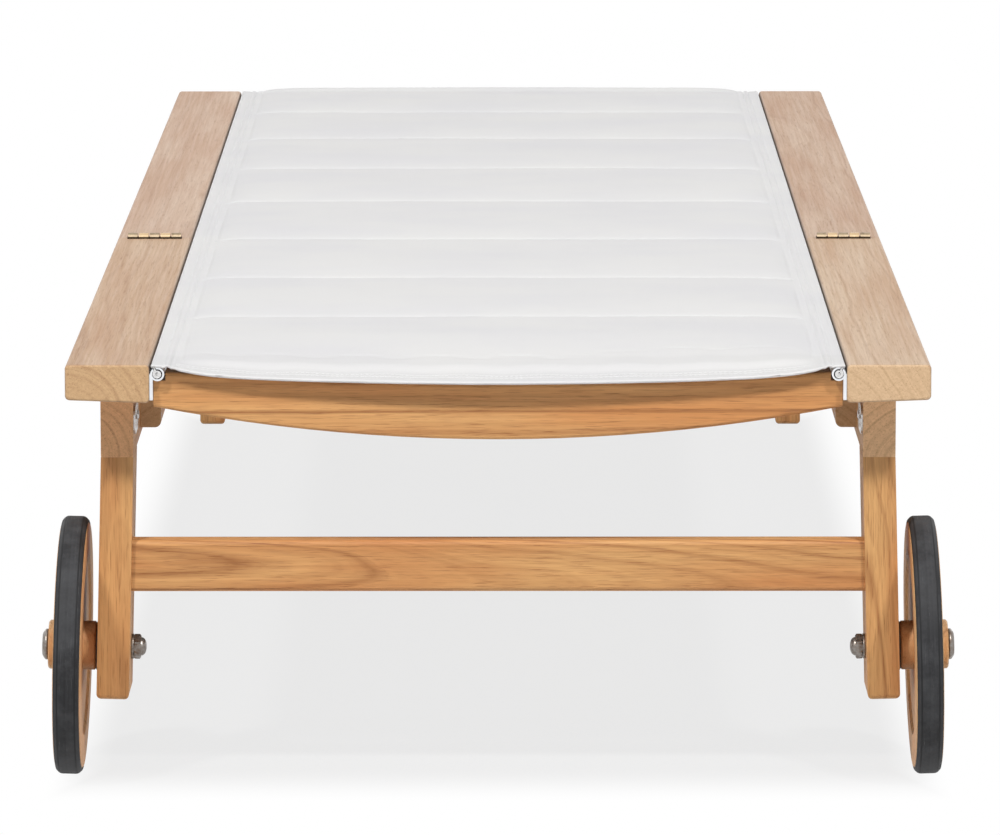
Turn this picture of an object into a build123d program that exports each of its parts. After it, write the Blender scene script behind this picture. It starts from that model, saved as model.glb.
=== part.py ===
from build123d import *
import math
import os

# A wheeled teak chaise lounger with a padded sling over a reclining back.
# X runs across the lounger, Y along it from the wheels (-Y) to the foot (+Y), Z up.
# The origin is on the floor, under the middle of the whole lounger with its wheels.

# Driving sizes, in millimetres and degrees
overall_length = 2050.0
overall_width = 660.0
rail_top = 330.0
back_length = 800.0
tilt_limit = 60.0

# Upper side rails
rail_width = 64.5
rail_inner_thick = 29.8
rail_outer_thick = 27.4
rail_round = 3.5
rail_end_round = 2.0
rail_joint_gap = 0.8

# Lower side beams, which carry the rails
beam_width = 25.0
beam_side_inset = 24.5
beam_drop = 78.4
beam_end_setback = 48.0
beam_round = 1.0
back_rest_gap = 0.4

# Legs
leg_depth = 60.0
leg_round = 4.5
head_leg_floor_gap = 62.0
head_leg_splay = 1.5
foot_leg_setback = 49.0
leg_tenon_height = 28.0
leg_tenon_thick = 11.0
leg_tenon_depth = 40.0
joint_clearance = 0.1

# Stretchers between the legs
stretcher_height = 40.0
stretcher_thick = 23.0
stretcher_drop = 144.0
stretcher_set_in = 4.0
stretcher_round = 4.0
stretcher_tenon_length = 15.0
stretcher_tenon_height = 26.0
stretcher_tenon_thick = 11.0

# Bowed cross rails under the sling
bow_thick = 22.0
bow_end_bottom = 33.5
bow_mid_bottom = 58.9
bow_mid_top = 21.0
bow_end_sling_top = 16.5
bow_shoulder_top = 7.2
bow_round = 2.5
bow_setback = 8.0
bow_hinge_offset = 42.0
bow_end_gap = 0.2
bow_ring_gap = 0.6
bow_dowel_radius = 4.0
bow_dowel_length = 44.0
bow_dowel_share = 0.41

# Dowels between the beams and the seat rails
rail_dowel_radius = 5.0
rail_dowel_length = 38.0
rail_dowel_pitch = 260.0
rail_dowel_count = 4

# Sling track: a lipped ring on a screwed flange
track_ring_radius = 5.3
track_ring_wall = 1.4
track_ring_drop = 7.4
track_flange_thick = 2.5
track_flange_bottom = 27.4
track_slot_width = 2.2
track_slot_angle = 62.0
track_screw_radius = 2.0
track_screw_head_radius = 4.0
track_screw_head_thick = 2.2
track_screw_length = 18.0
track_screw_drop = 18.2
track_screw_pitch = 150.0
track_screw_end = 75.0
spline_radius = 3.5
track_end_gap = 0.8

# Padded sling
hem_thick = 1.6
hem_band = 20.0
hem_top_drop = 0.3
hem_rail_gap = 1.0
pad_thick = 7.0
pad_crown = 4.5
pad_edge_rise = 2.0
pad_edge_slope = 6.0
seam_drop = 0.5
seam_edge_drop = 0.7
seam_thick = 2.4
panel_pitch = 263.0
panel_shoulder = 26.0
sling_end_set_in = 1.0
end_sag = 12.7
end_hem_depth = 14.0
end_sag_length = 150.0
end_edge_drop = 2.0
end_sag_shares = (1.0, 0.8, 0.6)
end_pad_shares = (0.0, 0.0, 0.5)

# Back hinges: leaves let into the rail ends, pins level with the rail tops
hinge_length = 47.0
hinge_barrel_radius = 4.6
hinge_pin_radius = 1.5
hinge_pin_clearance = 0.05
hinge_knuckle_count = 5
hinge_knuckle_gap = 1.2
hinge_leaf_thick = 1.5
hinge_leaf_height = 23.0
hinge_leaf_gap = 0.2
hinge_groove_gap = 1.2
hinge_screw_radius = 2.0
hinge_screw_length = 26.0
hinge_screw_share = 0.3

# Prop that holds the back up
prop_rest_setback = 216.0
prop_pivot_drop = 43.0
prop_bar_drop = 46.0
prop_arm_share = 1.229
prop_ratio = 1.84
prop_arm_width = 16.0
prop_arm_height = 18.0
prop_arm_side_gap = 6.0
prop_bar_radius = 6.0
prop_bar_side_gap = 1.5
prop_bolt_radius = 4.0
prop_bolt_head_radius = 7.0
prop_bolt_head_thick = 4.0
prop_running_clearance = 0.06
prop_washer_radius = 9.0
prop_washer_gap = 0.3
bracket_thick = 2.5
bracket_length = 44.0
bracket_ear_radius = 10.0
bracket_plate_width = 15.0
bracket_screw_radius = 2.0
bracket_screw_tip_gap = 1.0
bracket_screw_share = 0.34

# Notched racks that the prop bar drops into
rack_width = 16.0
rack_bottom_drop = 73.0
rack_stop_gap = 12.0
rack_block_length = 28.0
rack_block_drop = 38.0
rack_tail_length = 34.0
rack_tooth_gap = 0.6
rack_notch_depth = 8.0
rack_notch_gap = 0.4
rack_round = 5.0
rack_tilt_shares = (0.3, 0.45, 0.6, 0.75, 0.9)
rack_screw_radius = 2.5
rack_screw_head_radius = 4.5
rack_screw_length = 30.0
rack_screw_count = 3

# Stainless plates at the head ends of the beams
plate_thick = 1.5
plate_length = 48.0
plate_height = 22.0
plate_top_drop = 40.0
plate_set_in = 5.0
plate_round = 8.0
plate_screw_radius = 2.0
plate_screw_head_radius = 3.6
plate_screw_head_thick = 1.2
plate_screw_tip_gap = 1.0
plate_screw_share = 0.28

# Wheels and axles, measured along the splayed axle
wheel_radius = 100.0
tyre_wall = 4.5
tyre_width = 20.0
tyre_bevel = 2.5
wheel_setback = 78.0
disc_thick = 21.0
disc_rim_inner_radius = 68.0
disc_web_recess = 2.0
disc_edge_round = 1.2
hub_radius = 19.0
hub_proud = 8.0
bush_radius = 7.5
spacer_thick = 1.6
spacer_gap = 0.3
axle_radius = 5.0
axle_running_clearance = 0.08
axle_head_radius = 12.0
axle_head_thick = 4.4
axle_head_gap = 0.5
axle_hole_clearance = 0.2
washer_radius = 9.8
washer_thick = 2.0
nut_across_flats = 17.0
nut_hex_thick = 5.6
nut_dome_radius = 7.2
nut_length = 9.3

# One named overrun serves every cut
overrun = 2.0

# Places worked out from the sizes above
wheel_overhang = max(0, wheel_radius - wheel_setback)
head_y = (wheel_overhang - overall_length) / 2
foot_y = head_y + overall_length
hinge_y = head_y + back_length
rail_outer_x = overall_width / 2
rail_inner_x = rail_outer_x - rail_width
beam_outer_x = rail_outer_x - beam_side_inset
beam_inner_x = beam_outer_x - beam_width
beam_mid_x = (beam_outer_x + beam_inner_x) / 2
beam_bottom_z = rail_top - beam_drop
flange_inner_x = rail_inner_x - track_flange_thick
ring_x = rail_inner_x - track_ring_radius - track_ring_wall / 2
ring_z = rail_top - track_ring_drop
arm_outer_x = rail_inner_x - prop_arm_side_gap
arm_inner_x = arm_outer_x - prop_arm_width
prop_pivot_reach = (back_length - prop_rest_setback) / (1 + prop_arm_share)
arm_length = prop_pivot_reach * prop_arm_share
pivot_y = hinge_y - prop_pivot_reach
pivot_z = rail_top - prop_pivot_drop
bar_y = pivot_y - math.sqrt(arm_length**2 - (prop_bar_drop - prop_pivot_drop)**2)
bar_z = rail_top - prop_bar_drop
rack_inner_x = beam_inner_x - rack_width


def underside_z(x):
    """Height of the sloping underside of a side rail at x."""
    slope = (rail_inner_thick - rail_outer_thick) / rail_width
    return rail_top - rail_inner_thick + slope * (x - rail_inner_x)


def section_plane(y):
    """Plane across the lounger at y: its first axis is X and its second is Z."""
    return Plane(origin=(0, y, 0), x_dir=(1, 0, 0), z_dir=(0, -1, 0))


def along_y(face, y_start, y_end):
    """Extrude a flat X-Z face from y_start to y_end."""
    return extrude(section_plane(y_start) * face, amount=y_end - y_start, dir=(0, 1, 0))


def box_between(low, high):
    """Box from its low corner to its high corner."""
    size = [high[i] - low[i] for i in range(3)]
    middle = [(high[i] + low[i]) / 2 for i in range(3)]
    return Pos(*middle) * Box(*size)


def rod_x(radius, x_start, x_end, y, z):
    """Round rod along X."""
    return Pos((x_start + x_end) / 2, y, z) * Rot(0, 90, 0) * Cylinder(radius, abs(x_end - x_start))


def rod_y(radius, y_start, y_end, x, z):
    """Round rod along Y."""
    return Pos(x, (y_start + y_end) / 2, z) * Rot(90, 0, 0) * Cylinder(radius, abs(y_end - y_start))


def rod_z(radius, z_start, z_end, x, y):
    """Round rod along Z."""
    return Pos(x, y, (z_start + z_end) / 2) * Cylinder(radius, abs(z_end - z_start))


def other_side(shape):
    """The same piece on the -X side."""
    return mirror(shape, about=Plane.YZ)


def both_sides(shapes):
    """A group of pieces and their copies on the -X side."""
    return list(shapes) + [other_side(shape) for shape in shapes]


def pitch_positions(start, end, pitch, margin):
    """Evenly spaced places between two ends, about one pitch apart."""
    count = max(1, round((end - start - 2 * margin) / pitch))
    step = (end - start - 2 * margin) / count
    return [start + margin + step * i for i in range(count + 1)]


# Side rails and hinges


def hinge_x_range():
    middle = (rail_inner_x + rail_outer_x) / 2
    return middle - hinge_length / 2, middle + hinge_length / 2


def hinge_recess():
    """Space that a hinge takes out of the two rail ends."""
    x_low, x_high = hinge_x_range()
    deep = hinge_leaf_gap + hinge_leaf_thick
    leaves = box_between(
        (x_low, hinge_y - deep, rail_top - hinge_leaf_height),
        (x_high, hinge_y + deep, rail_top + overrun),
    )
    groove = rod_x(hinge_barrel_radius + hinge_groove_gap, x_low, x_high, hinge_y, rail_top)
    return leaves + groove


def side_rail(y_start, y_end, free_end):
    """One plank of a side rail, thinner towards its outer edge, with rounded long edges."""
    outline = Polygon(
        (rail_inner_x, rail_top),
        (rail_outer_x, rail_top),
        (rail_outer_x, rail_top - rail_outer_thick),
        (rail_inner_x, rail_top - rail_inner_thick),
        align=None,
    )
    plank = along_y(fillet(outline.vertices(), rail_round), y_start, y_end)
    ends = plank.faces().sort_by(Axis.Y)
    end = ends[0] if free_end < hinge_y else ends[-1]
    return fillet(end.edges(), rail_end_round) - hinge_recess()


def hinge_knuckles(owner):
    """X ranges of the knuckles of one leaf: 0 for the seat leaf, 1 for the back leaf."""
    x_low, x_high = hinge_x_range()
    step = (x_high - x_low) / hinge_knuckle_count
    half_gap = hinge_knuckle_gap / 2
    return [
        (x_low + step * i + half_gap, x_low + step * (i + 1) - half_gap)
        for i in range(hinge_knuckle_count)
        if i % 2 == owner
    ]


def hinge_leaf(owner):
    """One hinge leaf with its knuckles and screw holes."""
    x_low, x_high = hinge_x_range()
    side = 1 if owner == 0 else -1
    near = hinge_y + side * hinge_leaf_gap
    far = hinge_y + side * (hinge_leaf_gap + hinge_leaf_thick)
    y_low, y_high = min(near, far), max(near, far)
    bottom = rail_top - hinge_leaf_height
    clear_top = rail_top - hinge_barrel_radius - hinge_groove_gap
    leaf = box_between((x_low, y_low, bottom), (x_high, y_high, clear_top))
    for x_start, x_end in hinge_knuckles(owner):
        leaf += box_between((x_start, y_low, bottom), (x_end, y_high, rail_top))
        leaf += rod_x(hinge_barrel_radius, x_start, x_end, hinge_y, rail_top)
    bore = hinge_pin_radius + hinge_pin_clearance
    leaf -= rod_x(bore, x_low - overrun, x_high + overrun, hinge_y, rail_top)
    for x, z in hinge_screw_places():
        leaf -= rod_y(hinge_screw_radius, y_low - overrun, y_high + overrun, x, z)
    return leaf


def hinge_screw_places():
    """Two screws through each leaf, in X and Z."""
    x_low, x_high = hinge_x_range()
    middle = (x_low + x_high) / 2
    z = rail_top - (hinge_leaf_height + hinge_barrel_radius) / 2
    return [(middle + side * hinge_length * hinge_screw_share, z) for side in (-1, 1)]


def hinge_screws(owner):
    """Flush screws from a leaf into the end of its rail."""
    side = 1 if owner == 0 else -1
    start = hinge_y + side * hinge_leaf_gap
    return [
        rod_y(hinge_screw_radius, start, start + side * hinge_screw_length, x, z)
        for x, z in hinge_screw_places()
    ]


def hinge_pin():
    x_low, x_high = hinge_x_range()
    return rod_x(hinge_pin_radius, x_low, x_high, hinge_y, rail_top)


# Beams, legs and stretchers


def side_beam():
    """Lower beam of one side; its top follows the underside of the rails."""
    start = head_y + beam_end_setback
    end = foot_y - foot_leg_setback
    corners = (beam_inner_x, beam_outer_x)
    outline = Polygon(
        (corners[0], underside_z(corners[0])),
        (corners[1], underside_z(corners[1])),
        (corners[1], beam_bottom_z),
        (corners[0], beam_bottom_z),
        align=None,
    )
    low_corners = outline.vertices().group_by(Axis.Y)[0]
    beam = along_y(fillet(low_corners, beam_round), start, end)
    relief = Polygon(
        (corners[0] - overrun, underside_z(corners[0] - overrun) - back_rest_gap),
        (corners[1] + overrun, underside_z(corners[1] + overrun) - back_rest_gap),
        (corners[1] + overrun, rail_top),
        (corners[0] - overrun, rail_top),
        align=None,
    )
    return beam - along_y(relief, start - overrun, hinge_y)


def leg_tenon(y_middle, grow):
    """Tenon on top of a leg; grow makes the mortise that takes it."""
    half_thick = leg_tenon_thick / 2 + grow
    half_depth = leg_tenon_depth / 2 + grow
    return box_between(
        (beam_mid_x - half_thick, y_middle - half_depth, beam_bottom_z - overrun),
        (beam_mid_x + half_thick, y_middle + half_depth, beam_bottom_z + leg_tenon_height + grow),
    )


def head_leg_y():
    start = head_y + beam_end_setback
    return start, start + leg_depth


def foot_leg_y():
    end = foot_y - foot_leg_setback
    return end - leg_depth, end


def splay_place(along, down):
    """World place of a point in the splayed leg's own X and Z, from the top of its middle."""
    angle = math.radians(head_leg_splay)
    x = beam_mid_x + along * math.cos(angle) - down * math.sin(angle)
    z = beam_bottom_z + along * math.sin(angle) + down * math.cos(angle)
    return x, z


def wheel_middle():
    """Distance of the wheel's middle plane from the middle of the leg, along the axle."""
    return beam_width / 2 + spacer_thick + spacer_gap + hub_proud + disc_thick / 2


def axle_down():
    """Place of the axle down the splayed leg, set so that the tyre just meets the floor."""
    angle = math.radians(head_leg_splay)
    flat_half = tyre_width / 2 - tyre_bevel
    centre_z = wheel_radius * math.cos(angle) + flat_half * math.sin(angle)
    return (centre_z - beam_bottom_z - wheel_middle() * math.sin(angle)) / math.cos(angle)


def on_axle(shape):
    """Move a piece, drawn along X from the middle of the leg, onto the splayed axle."""
    x, z = splay_place(0, axle_down())
    return Pos(x, head_y + wheel_setback, z) * Rot(0, -head_leg_splay, 0) * shape


def splayed_leg_blank():
    """Splayed bar, cut level where it meets the beam."""
    y_start, y_end = head_leg_y()
    length = (beam_bottom_z - head_leg_floor_gap) / math.cos(math.radians(head_leg_splay))
    half = beam_width / 2
    bar = box_between((-half, y_start, -length), (half, y_end, overrun))
    bar = fillet(bar.faces().sort_by(Axis.Z)[0].edges(), leg_round)
    bar = Pos(beam_mid_x, 0, beam_bottom_z) * Rot(0, -head_leg_splay, 0) * bar
    above = box_between(
        (beam_inner_x - beam_width, y_start - overrun, beam_bottom_z),
        (beam_outer_x + beam_width, y_end + overrun, rail_top),
    )
    return bar - above


def stretcher_y(leg_range, toward_foot):
    """Y range of a stretcher, set in from the outer face of its legs."""
    if toward_foot:
        return leg_range[1] - stretcher_set_in - stretcher_thick, leg_range[1] - stretcher_set_in
    return leg_range[0] + stretcher_set_in, leg_range[0] + stretcher_set_in + stretcher_thick


def stretcher_tenon(y_range, x_face, grow):
    """Tenon of a stretcher on the +X side, or with grow its mortise."""
    y_middle = sum(y_range) / 2
    z_middle = rail_top - stretcher_drop - stretcher_height / 2
    half_thick = stretcher_tenon_thick / 2 + grow
    half_height = stretcher_tenon_height / 2 + grow
    return box_between(
        (x_face - stretcher_tenon_length, y_middle - half_thick, z_middle - half_height),
        (x_face + stretcher_tenon_length + grow, y_middle + half_thick, z_middle + half_height),
    )


def head_leg_face_x():
    """X of the inner face of a splayed leg at the stretcher's middle height."""
    down = beam_bottom_z - (rail_top - stretcher_drop - stretcher_height / 2)
    return beam_inner_x + down * math.tan(math.radians(head_leg_splay))


def head_leg():
    leg = splayed_leg_blank()
    leg += leg_tenon(sum(head_leg_y()) / 2, 0)
    leg -= stretcher_tenon(stretcher_y(head_leg_y(), False), head_leg_face_x(), joint_clearance)
    half = beam_width / 2 + overrun
    hole = rod_x(axle_radius + axle_hole_clearance, -half, half, 0, 0)
    return leg - on_axle(hole)


def foot_leg():
    y_start, y_end = foot_leg_y()
    leg = box_between((beam_inner_x, y_start, 0), (beam_outer_x, y_end, beam_bottom_z))
    leg = fillet(leg.faces().sort_by(Axis.Z)[0].edges(), leg_round)
    leg += leg_tenon((y_start + y_end) / 2, 0)
    return leg - stretcher_tenon(stretcher_y(foot_leg_y(), True), beam_inner_x, joint_clearance)


def beam_with_mortises():
    beam = side_beam()
    for leg_range in (head_leg_y(), foot_leg_y()):
        beam -= leg_tenon(sum(leg_range) / 2, joint_clearance)
    for place in rail_dowel_places():
        beam -= rail_dowel(place)
    return beam


def stretcher(y_range, leg_blank, x_face):
    """Cross bar with rounded long edges, shouldered against both legs and tenoned into them."""
    z_top = rail_top - stretcher_drop
    reach = beam_outer_x
    bar = box_between((-reach, y_range[0], z_top - stretcher_height), (reach, y_range[1], z_top))
    bar = fillet(bar.edges().filter_by(Axis.X), stretcher_round)
    bar = bar - leg_blank - other_side(leg_blank)
    bar = bar.solids().sort_by(SortBy.VOLUME)[-1]
    tenon = stretcher_tenon(y_range, x_face, 0)
    return bar + tenon + other_side(tenon)


def rail_dowel_places():
    """Y places of the dowels between a beam and its seat rail."""
    span = foot_y - hinge_y
    first = hinge_y + (span - rail_dowel_pitch * (rail_dowel_count - 1)) / 2
    return [first + rail_dowel_pitch * i for i in range(rail_dowel_count)]


def rail_dowel(y):
    middle = underside_z(beam_mid_x)
    half = rail_dowel_length / 2
    return rod_z(rail_dowel_radius, middle - half, middle + half, beam_mid_x, y)


# Bowed cross rails


def bow_dowel_z():
    """Height of a bow rail's dowels, midway between the track ring and the rail's bottom."""
    top = ring_z - track_ring_radius
    return top + (rail_top - bow_end_bottom - top) * bow_dowel_share


def bow_rail(y_start, mid_top):
    """Cross rail between the tracks, hollow on top, bowed below and notched under the rings."""
    half = flange_inner_x - bow_end_gap
    notch = ring_x - track_ring_radius - bow_ring_gap
    end_top = ring_z - track_ring_radius - bow_ring_gap
    shoulder = rail_top - bow_shoulder_top
    z_low = rail_top - bow_end_bottom
    edges = [
        ThreePointArc((-half, z_low), (0, rail_top - bow_mid_bottom), (half, z_low)),
        Line((half, z_low), (half, end_top)),
        Line((half, end_top), (notch, end_top)),
        Line((notch, end_top), (notch, shoulder)),
        ThreePointArc((notch, shoulder), (0, rail_top - mid_top), (-notch, shoulder)),
        Line((-notch, shoulder), (-notch, end_top)),
        Line((-notch, end_top), (-half, end_top)),
        Line((-half, end_top), (-half, z_low)),
    ]
    rail = along_y(make_face(edges), y_start, y_start + bow_thick)
    long_edges = rail.edges().filter_by(GeomType.CIRCLE)
    rail = fillet(long_edges, bow_round)
    for dowel in bow_dowels(y_start):
        rail -= dowel
    return rail


def bow_dowels(y_start):
    """Two dowels that join a bow rail to the side rails through the track flanges."""
    middle = rail_inner_x
    half = bow_dowel_length / 2
    y = y_start + bow_thick / 2
    dowel = rod_x(bow_dowel_radius, middle - half, middle + half, y, bow_dowel_z())
    return [dowel, other_side(dowel)]


def back_bow_places():
    return [
        (head_y + bow_setback, bow_end_sling_top),
        (hinge_y - bow_hinge_offset - bow_thick, bow_mid_top),
    ]


def seat_bow_places():
    near = hinge_y + bow_hinge_offset
    far = foot_y - bow_setback - bow_thick
    return [(near, bow_mid_top), ((near + far) / 2, bow_mid_top), (far, bow_end_sling_top)]


# Sling tracks and splines


def track_section():
    """Ring with a slot at its upper outer side, joined to a flat flange."""
    bottom = rail_top - track_flange_bottom
    ring = Pos(ring_x, ring_z) * Circle(track_ring_radius)
    flange = Pos((flange_inner_x + rail_inner_x) / 2, (ring_z + bottom) / 2)
    flange *= Rectangle(track_flange_thick, ring_z - bottom)
    bore = Pos(ring_x, ring_z) * Circle(track_ring_radius - track_ring_wall)
    slot = Pos(track_ring_radius, 0) * Rectangle(2 * track_ring_radius, track_slot_width)
    slot = Pos(ring_x, ring_z) * Rot(0, 0, track_slot_angle) * slot
    return ring + flange - bore - slot


def track_range(back):
    """Y range of a sling track, split at the hinge."""
    if back:
        return head_y + track_end_gap, hinge_y - rail_joint_gap / 2
    return hinge_y + rail_joint_gap / 2, foot_y - track_end_gap


def track_screw_places(back):
    """Y places of the flange screws, kept off the bow rails."""
    start, end = track_range(back)
    return pitch_positions(start, end, track_screw_pitch, track_screw_end)


def track_screw(y):
    z = rail_top - track_screw_drop
    head = flange_inner_x - track_screw_head_thick
    screw = rod_x(track_screw_head_radius, head, flange_inner_x, y, z)
    return screw + rod_x(track_screw_radius, flange_inner_x, head + track_screw_length, y, z)


def sling_track(back):
    start, end = track_range(back)
    track = along_y(track_section(), start, end)
    for y in track_screw_places(back):
        track -= rod_x(track_screw_radius, flange_inner_x - overrun, rail_inner_x + overrun, y,
                       rail_top - track_screw_drop)
    for y_start, _ in back_bow_places() if back else seat_bow_places():
        track -= bow_dowels(y_start)[0]
    return track


def spline(back):
    """Rod with the sling's hem rolled round it, held in the track's ring."""
    start, end = track_range(back)
    return rod_y(spline_radius, start, end, ring_x, ring_z)


# Padded sling


def sling_section(y, middle_top, edge_top, thick):
    """Closed outline across the sling: flat side hems and an arched middle."""
    hem_edge = rail_inner_x - hem_rail_gap
    hem_inner = hem_edge - hem_band
    pad_edge = hem_inner - pad_edge_slope
    hem_top = rail_top - hem_top_drop
    hem_low = hem_top - hem_thick
    edge_low = edge_top - thick
    right = [
        Line((pad_edge, edge_top), (hem_inner, hem_top)),
        Line((hem_inner, hem_top), (hem_edge, hem_top)),
        Line((hem_edge, hem_top), (hem_edge, hem_low)),
        Line((hem_edge, hem_low), (hem_inner, hem_low)),
        Line((hem_inner, hem_low), (pad_edge, edge_low)),
    ]
    left = [
        Line((-pad_edge, edge_low), (-hem_inner, hem_low)),
        Line((-hem_inner, hem_low), (-hem_edge, hem_low)),
        Line((-hem_edge, hem_low), (-hem_edge, hem_top)),
        Line((-hem_edge, hem_top), (-hem_inner, hem_top)),
        Line((-hem_inner, hem_top), (-pad_edge, edge_top)),
    ]
    top = ThreePointArc((-pad_edge, edge_top), (0, middle_top), (pad_edge, edge_top))
    low = ThreePointArc((pad_edge, edge_low), (0, middle_top - thick), (-pad_edge, edge_low))
    return section_plane(y) * make_face([top] + right + [low] + left)


def panel_section(y, fullness):
    """Section of a padded panel, from 0 at a seam to 1 at its crown."""
    middle = rail_top - seam_drop + (pad_crown + seam_drop) * fullness
    edge = rail_top - seam_edge_drop + (pad_edge_rise + seam_edge_drop) * fullness
    thick = seam_thick + (pad_thick - seam_thick) * fullness
    return sling_section(y, middle, edge, thick)


def end_sections(edge_y, inward):
    """Sections where the free end of the sling sags, from its hem to the first panel."""
    sections = []
    for step, (sag, fill) in enumerate(zip(end_sag_shares, end_pad_shares)):
        y = edge_y + inward * end_hem_depth * step
        thick = hem_thick + (pad_thick - hem_thick) * fill
        middle = rail_top - end_sag * sag
        sections.append(sling_section(y, middle, rail_top - end_edge_drop * sag, thick))
    sections.append(panel_section(edge_y + inward * end_sag_length, 1))
    return sections


def seam_places(start, end):
    """Cross seams between two Y places, one pitch apart from the hinge."""
    count = int(overall_length / panel_pitch) + 1
    places = [hinge_y + panel_pitch * i for i in range(-count, count + 1)]
    return [y for y in places if start < y < end]


def sling(back):
    """Half of the padded sling: panels between cross seams, and a sagging free end."""
    start, end = track_range(back)
    free = start + sling_end_set_in if back else end - sling_end_set_in
    joint = end if back else start
    inward = 1 if back else -1
    first = free + inward * (end_sag_length + panel_shoulder)
    last = joint - inward * 2 * panel_shoulder
    stations = []
    for y in sorted(seam_places(min(first, last), max(first, last)), key=lambda place: inward * place):
        stations += [(y - inward * panel_shoulder, 1), (y, 0), (y + inward * panel_shoulder, 1)]
    stations += [(joint - inward * panel_shoulder, 1), (joint, 0)]
    sections = end_sections(free, inward)
    sections += [panel_section(y, fullness) for y, fullness in stations]
    return loft(sections, ruled=True)


# Prop and racks


def prop_path(tilt):
    """Y and Z of the prop bar when the back is raised by tilt degrees."""
    angle = math.radians(tilt)
    lean = math.asin((prop_bar_drop - prop_pivot_drop) / arm_length)
    down = (prop_ratio - 1) * angle + lean
    y = hinge_y - prop_pivot_reach * math.cos(angle) - prop_pivot_drop * math.sin(angle)
    z = rail_top + prop_pivot_reach * math.sin(angle) - prop_pivot_drop * math.cos(angle)
    return y - arm_length * math.cos(down), z - arm_length * math.sin(down)


def prop_arm():
    """Wooden arm with round ends, bored for the pivot bolt and the bar."""
    half = prop_arm_height / 2
    angle = math.degrees(math.atan2(bar_z - pivot_z, bar_y - pivot_y))
    outline = Pos(pivot_y, pivot_z) * Rot(0, 0, angle) * Pos(arm_length / 2, 0) * SlotCenterToCenter(
        arm_length, 2 * half
    )
    arm = extrude(Plane(origin=(arm_inner_x, 0, 0), x_dir=(0, 1, 0), z_dir=(1, 0, 0)) * outline,
                  amount=prop_arm_width)
    pivot_bore = prop_bolt_radius + prop_running_clearance
    arm -= rod_x(pivot_bore, arm_inner_x - overrun, arm_outer_x + overrun, pivot_y, pivot_z)
    return arm - rod_x(prop_bar_radius, arm_inner_x - overrun, arm_outer_x + overrun, bar_y, bar_z)


def prop_bar():
    reach = beam_inner_x - prop_bar_side_gap
    return rod_x(prop_bar_radius, -reach, reach, bar_y, bar_z)


def ear_x():
    """X range of a bracket's ear, flush with the inner edge of the side rail."""
    return rail_inner_x - bracket_thick - bracket_screw_radius / 2, rail_inner_x - bracket_screw_radius / 2


def prop_washer():
    """Washer on the arm, a running gap off the ear."""
    outer = ear_x()[0] - prop_washer_gap
    ring = rod_x(prop_washer_radius, arm_outer_x, outer, pivot_y, pivot_z)
    bore = prop_bolt_radius + prop_running_clearance
    return ring - rod_x(bore, arm_outer_x - overrun, outer + overrun, pivot_y, pivot_z)


def prop_bolt():
    """Bolt from the arm's inner side through the ear, with a head at both ends."""
    inner = arm_inner_x - prop_washer_gap
    outer = ear_x()[1]
    bolt = rod_x(prop_bolt_radius, inner, outer, pivot_y, pivot_z)
    bolt += rod_x(prop_bolt_head_radius, inner - prop_bolt_head_thick, inner, pivot_y, pivot_z)
    return bolt + rod_x(prop_bolt_head_radius, outer, outer + prop_bolt_head_thick, pivot_y, pivot_z)


def bracket_screw_places():
    x = ear_x()[1] + bracket_plate_width / 2 + bracket_thick
    return [(x, pivot_y + side * bracket_length * bracket_screw_share) for side in (-1, 1)]


def prop_bracket():
    """Folded plate under the back rail, with an ear for the prop's bolt."""
    x_in, x_out = ear_x()
    plate_out = x_out + bracket_plate_width
    outline = Polygon(
        (x_in, underside_z(rail_inner_x)),
        (rail_inner_x, underside_z(rail_inner_x)),
        (plate_out, underside_z(plate_out)),
        (plate_out, underside_z(plate_out) - bracket_thick),
        (x_in, underside_z(rail_inner_x) - bracket_thick),
        align=None,
    )
    plate = along_y(outline, pivot_y - bracket_length / 2, pivot_y + bracket_length / 2)
    ear_top = underside_z(rail_inner_x) - bracket_thick / 2
    ear = box_between((x_in, pivot_y - bracket_ear_radius, pivot_z),
                      (x_out, pivot_y + bracket_ear_radius, ear_top))
    ear += rod_x(bracket_ear_radius, x_in, x_out, pivot_y, pivot_z)
    bracket = plate + ear
    bracket -= rod_x(prop_bolt_radius, x_in - overrun, x_out + overrun, pivot_y, pivot_z)
    for x, y in bracket_screw_places():
        bracket -= rod_z(bracket_screw_radius, pivot_z, rail_top, x, y)
    return bracket


def bracket_screw(x, y):
    """Screw up into the back rail that ends under the track screws."""
    tip = rail_top - track_screw_drop - track_screw_radius - bracket_screw_tip_gap
    return rod_z(bracket_screw_radius, underside_z(x) - bracket_thick, tip, x, y)


def rack_range():
    """Y range of a rack, whose tall stop stands just beyond the resting bar."""
    start = bar_y - prop_bar_radius - rack_stop_gap - rack_block_length
    return start, prop_path(tilt_limit)[0] + prop_bar_radius + rack_tail_length


def rack_tooth_z():
    """Height of the tooth tips, just under the prop bar's lowest place."""
    steps = 60
    lowest = min(prop_path(tilt_limit * i / steps)[1] for i in range(steps + 1))
    return lowest - prop_bar_radius - rack_tooth_gap


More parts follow.
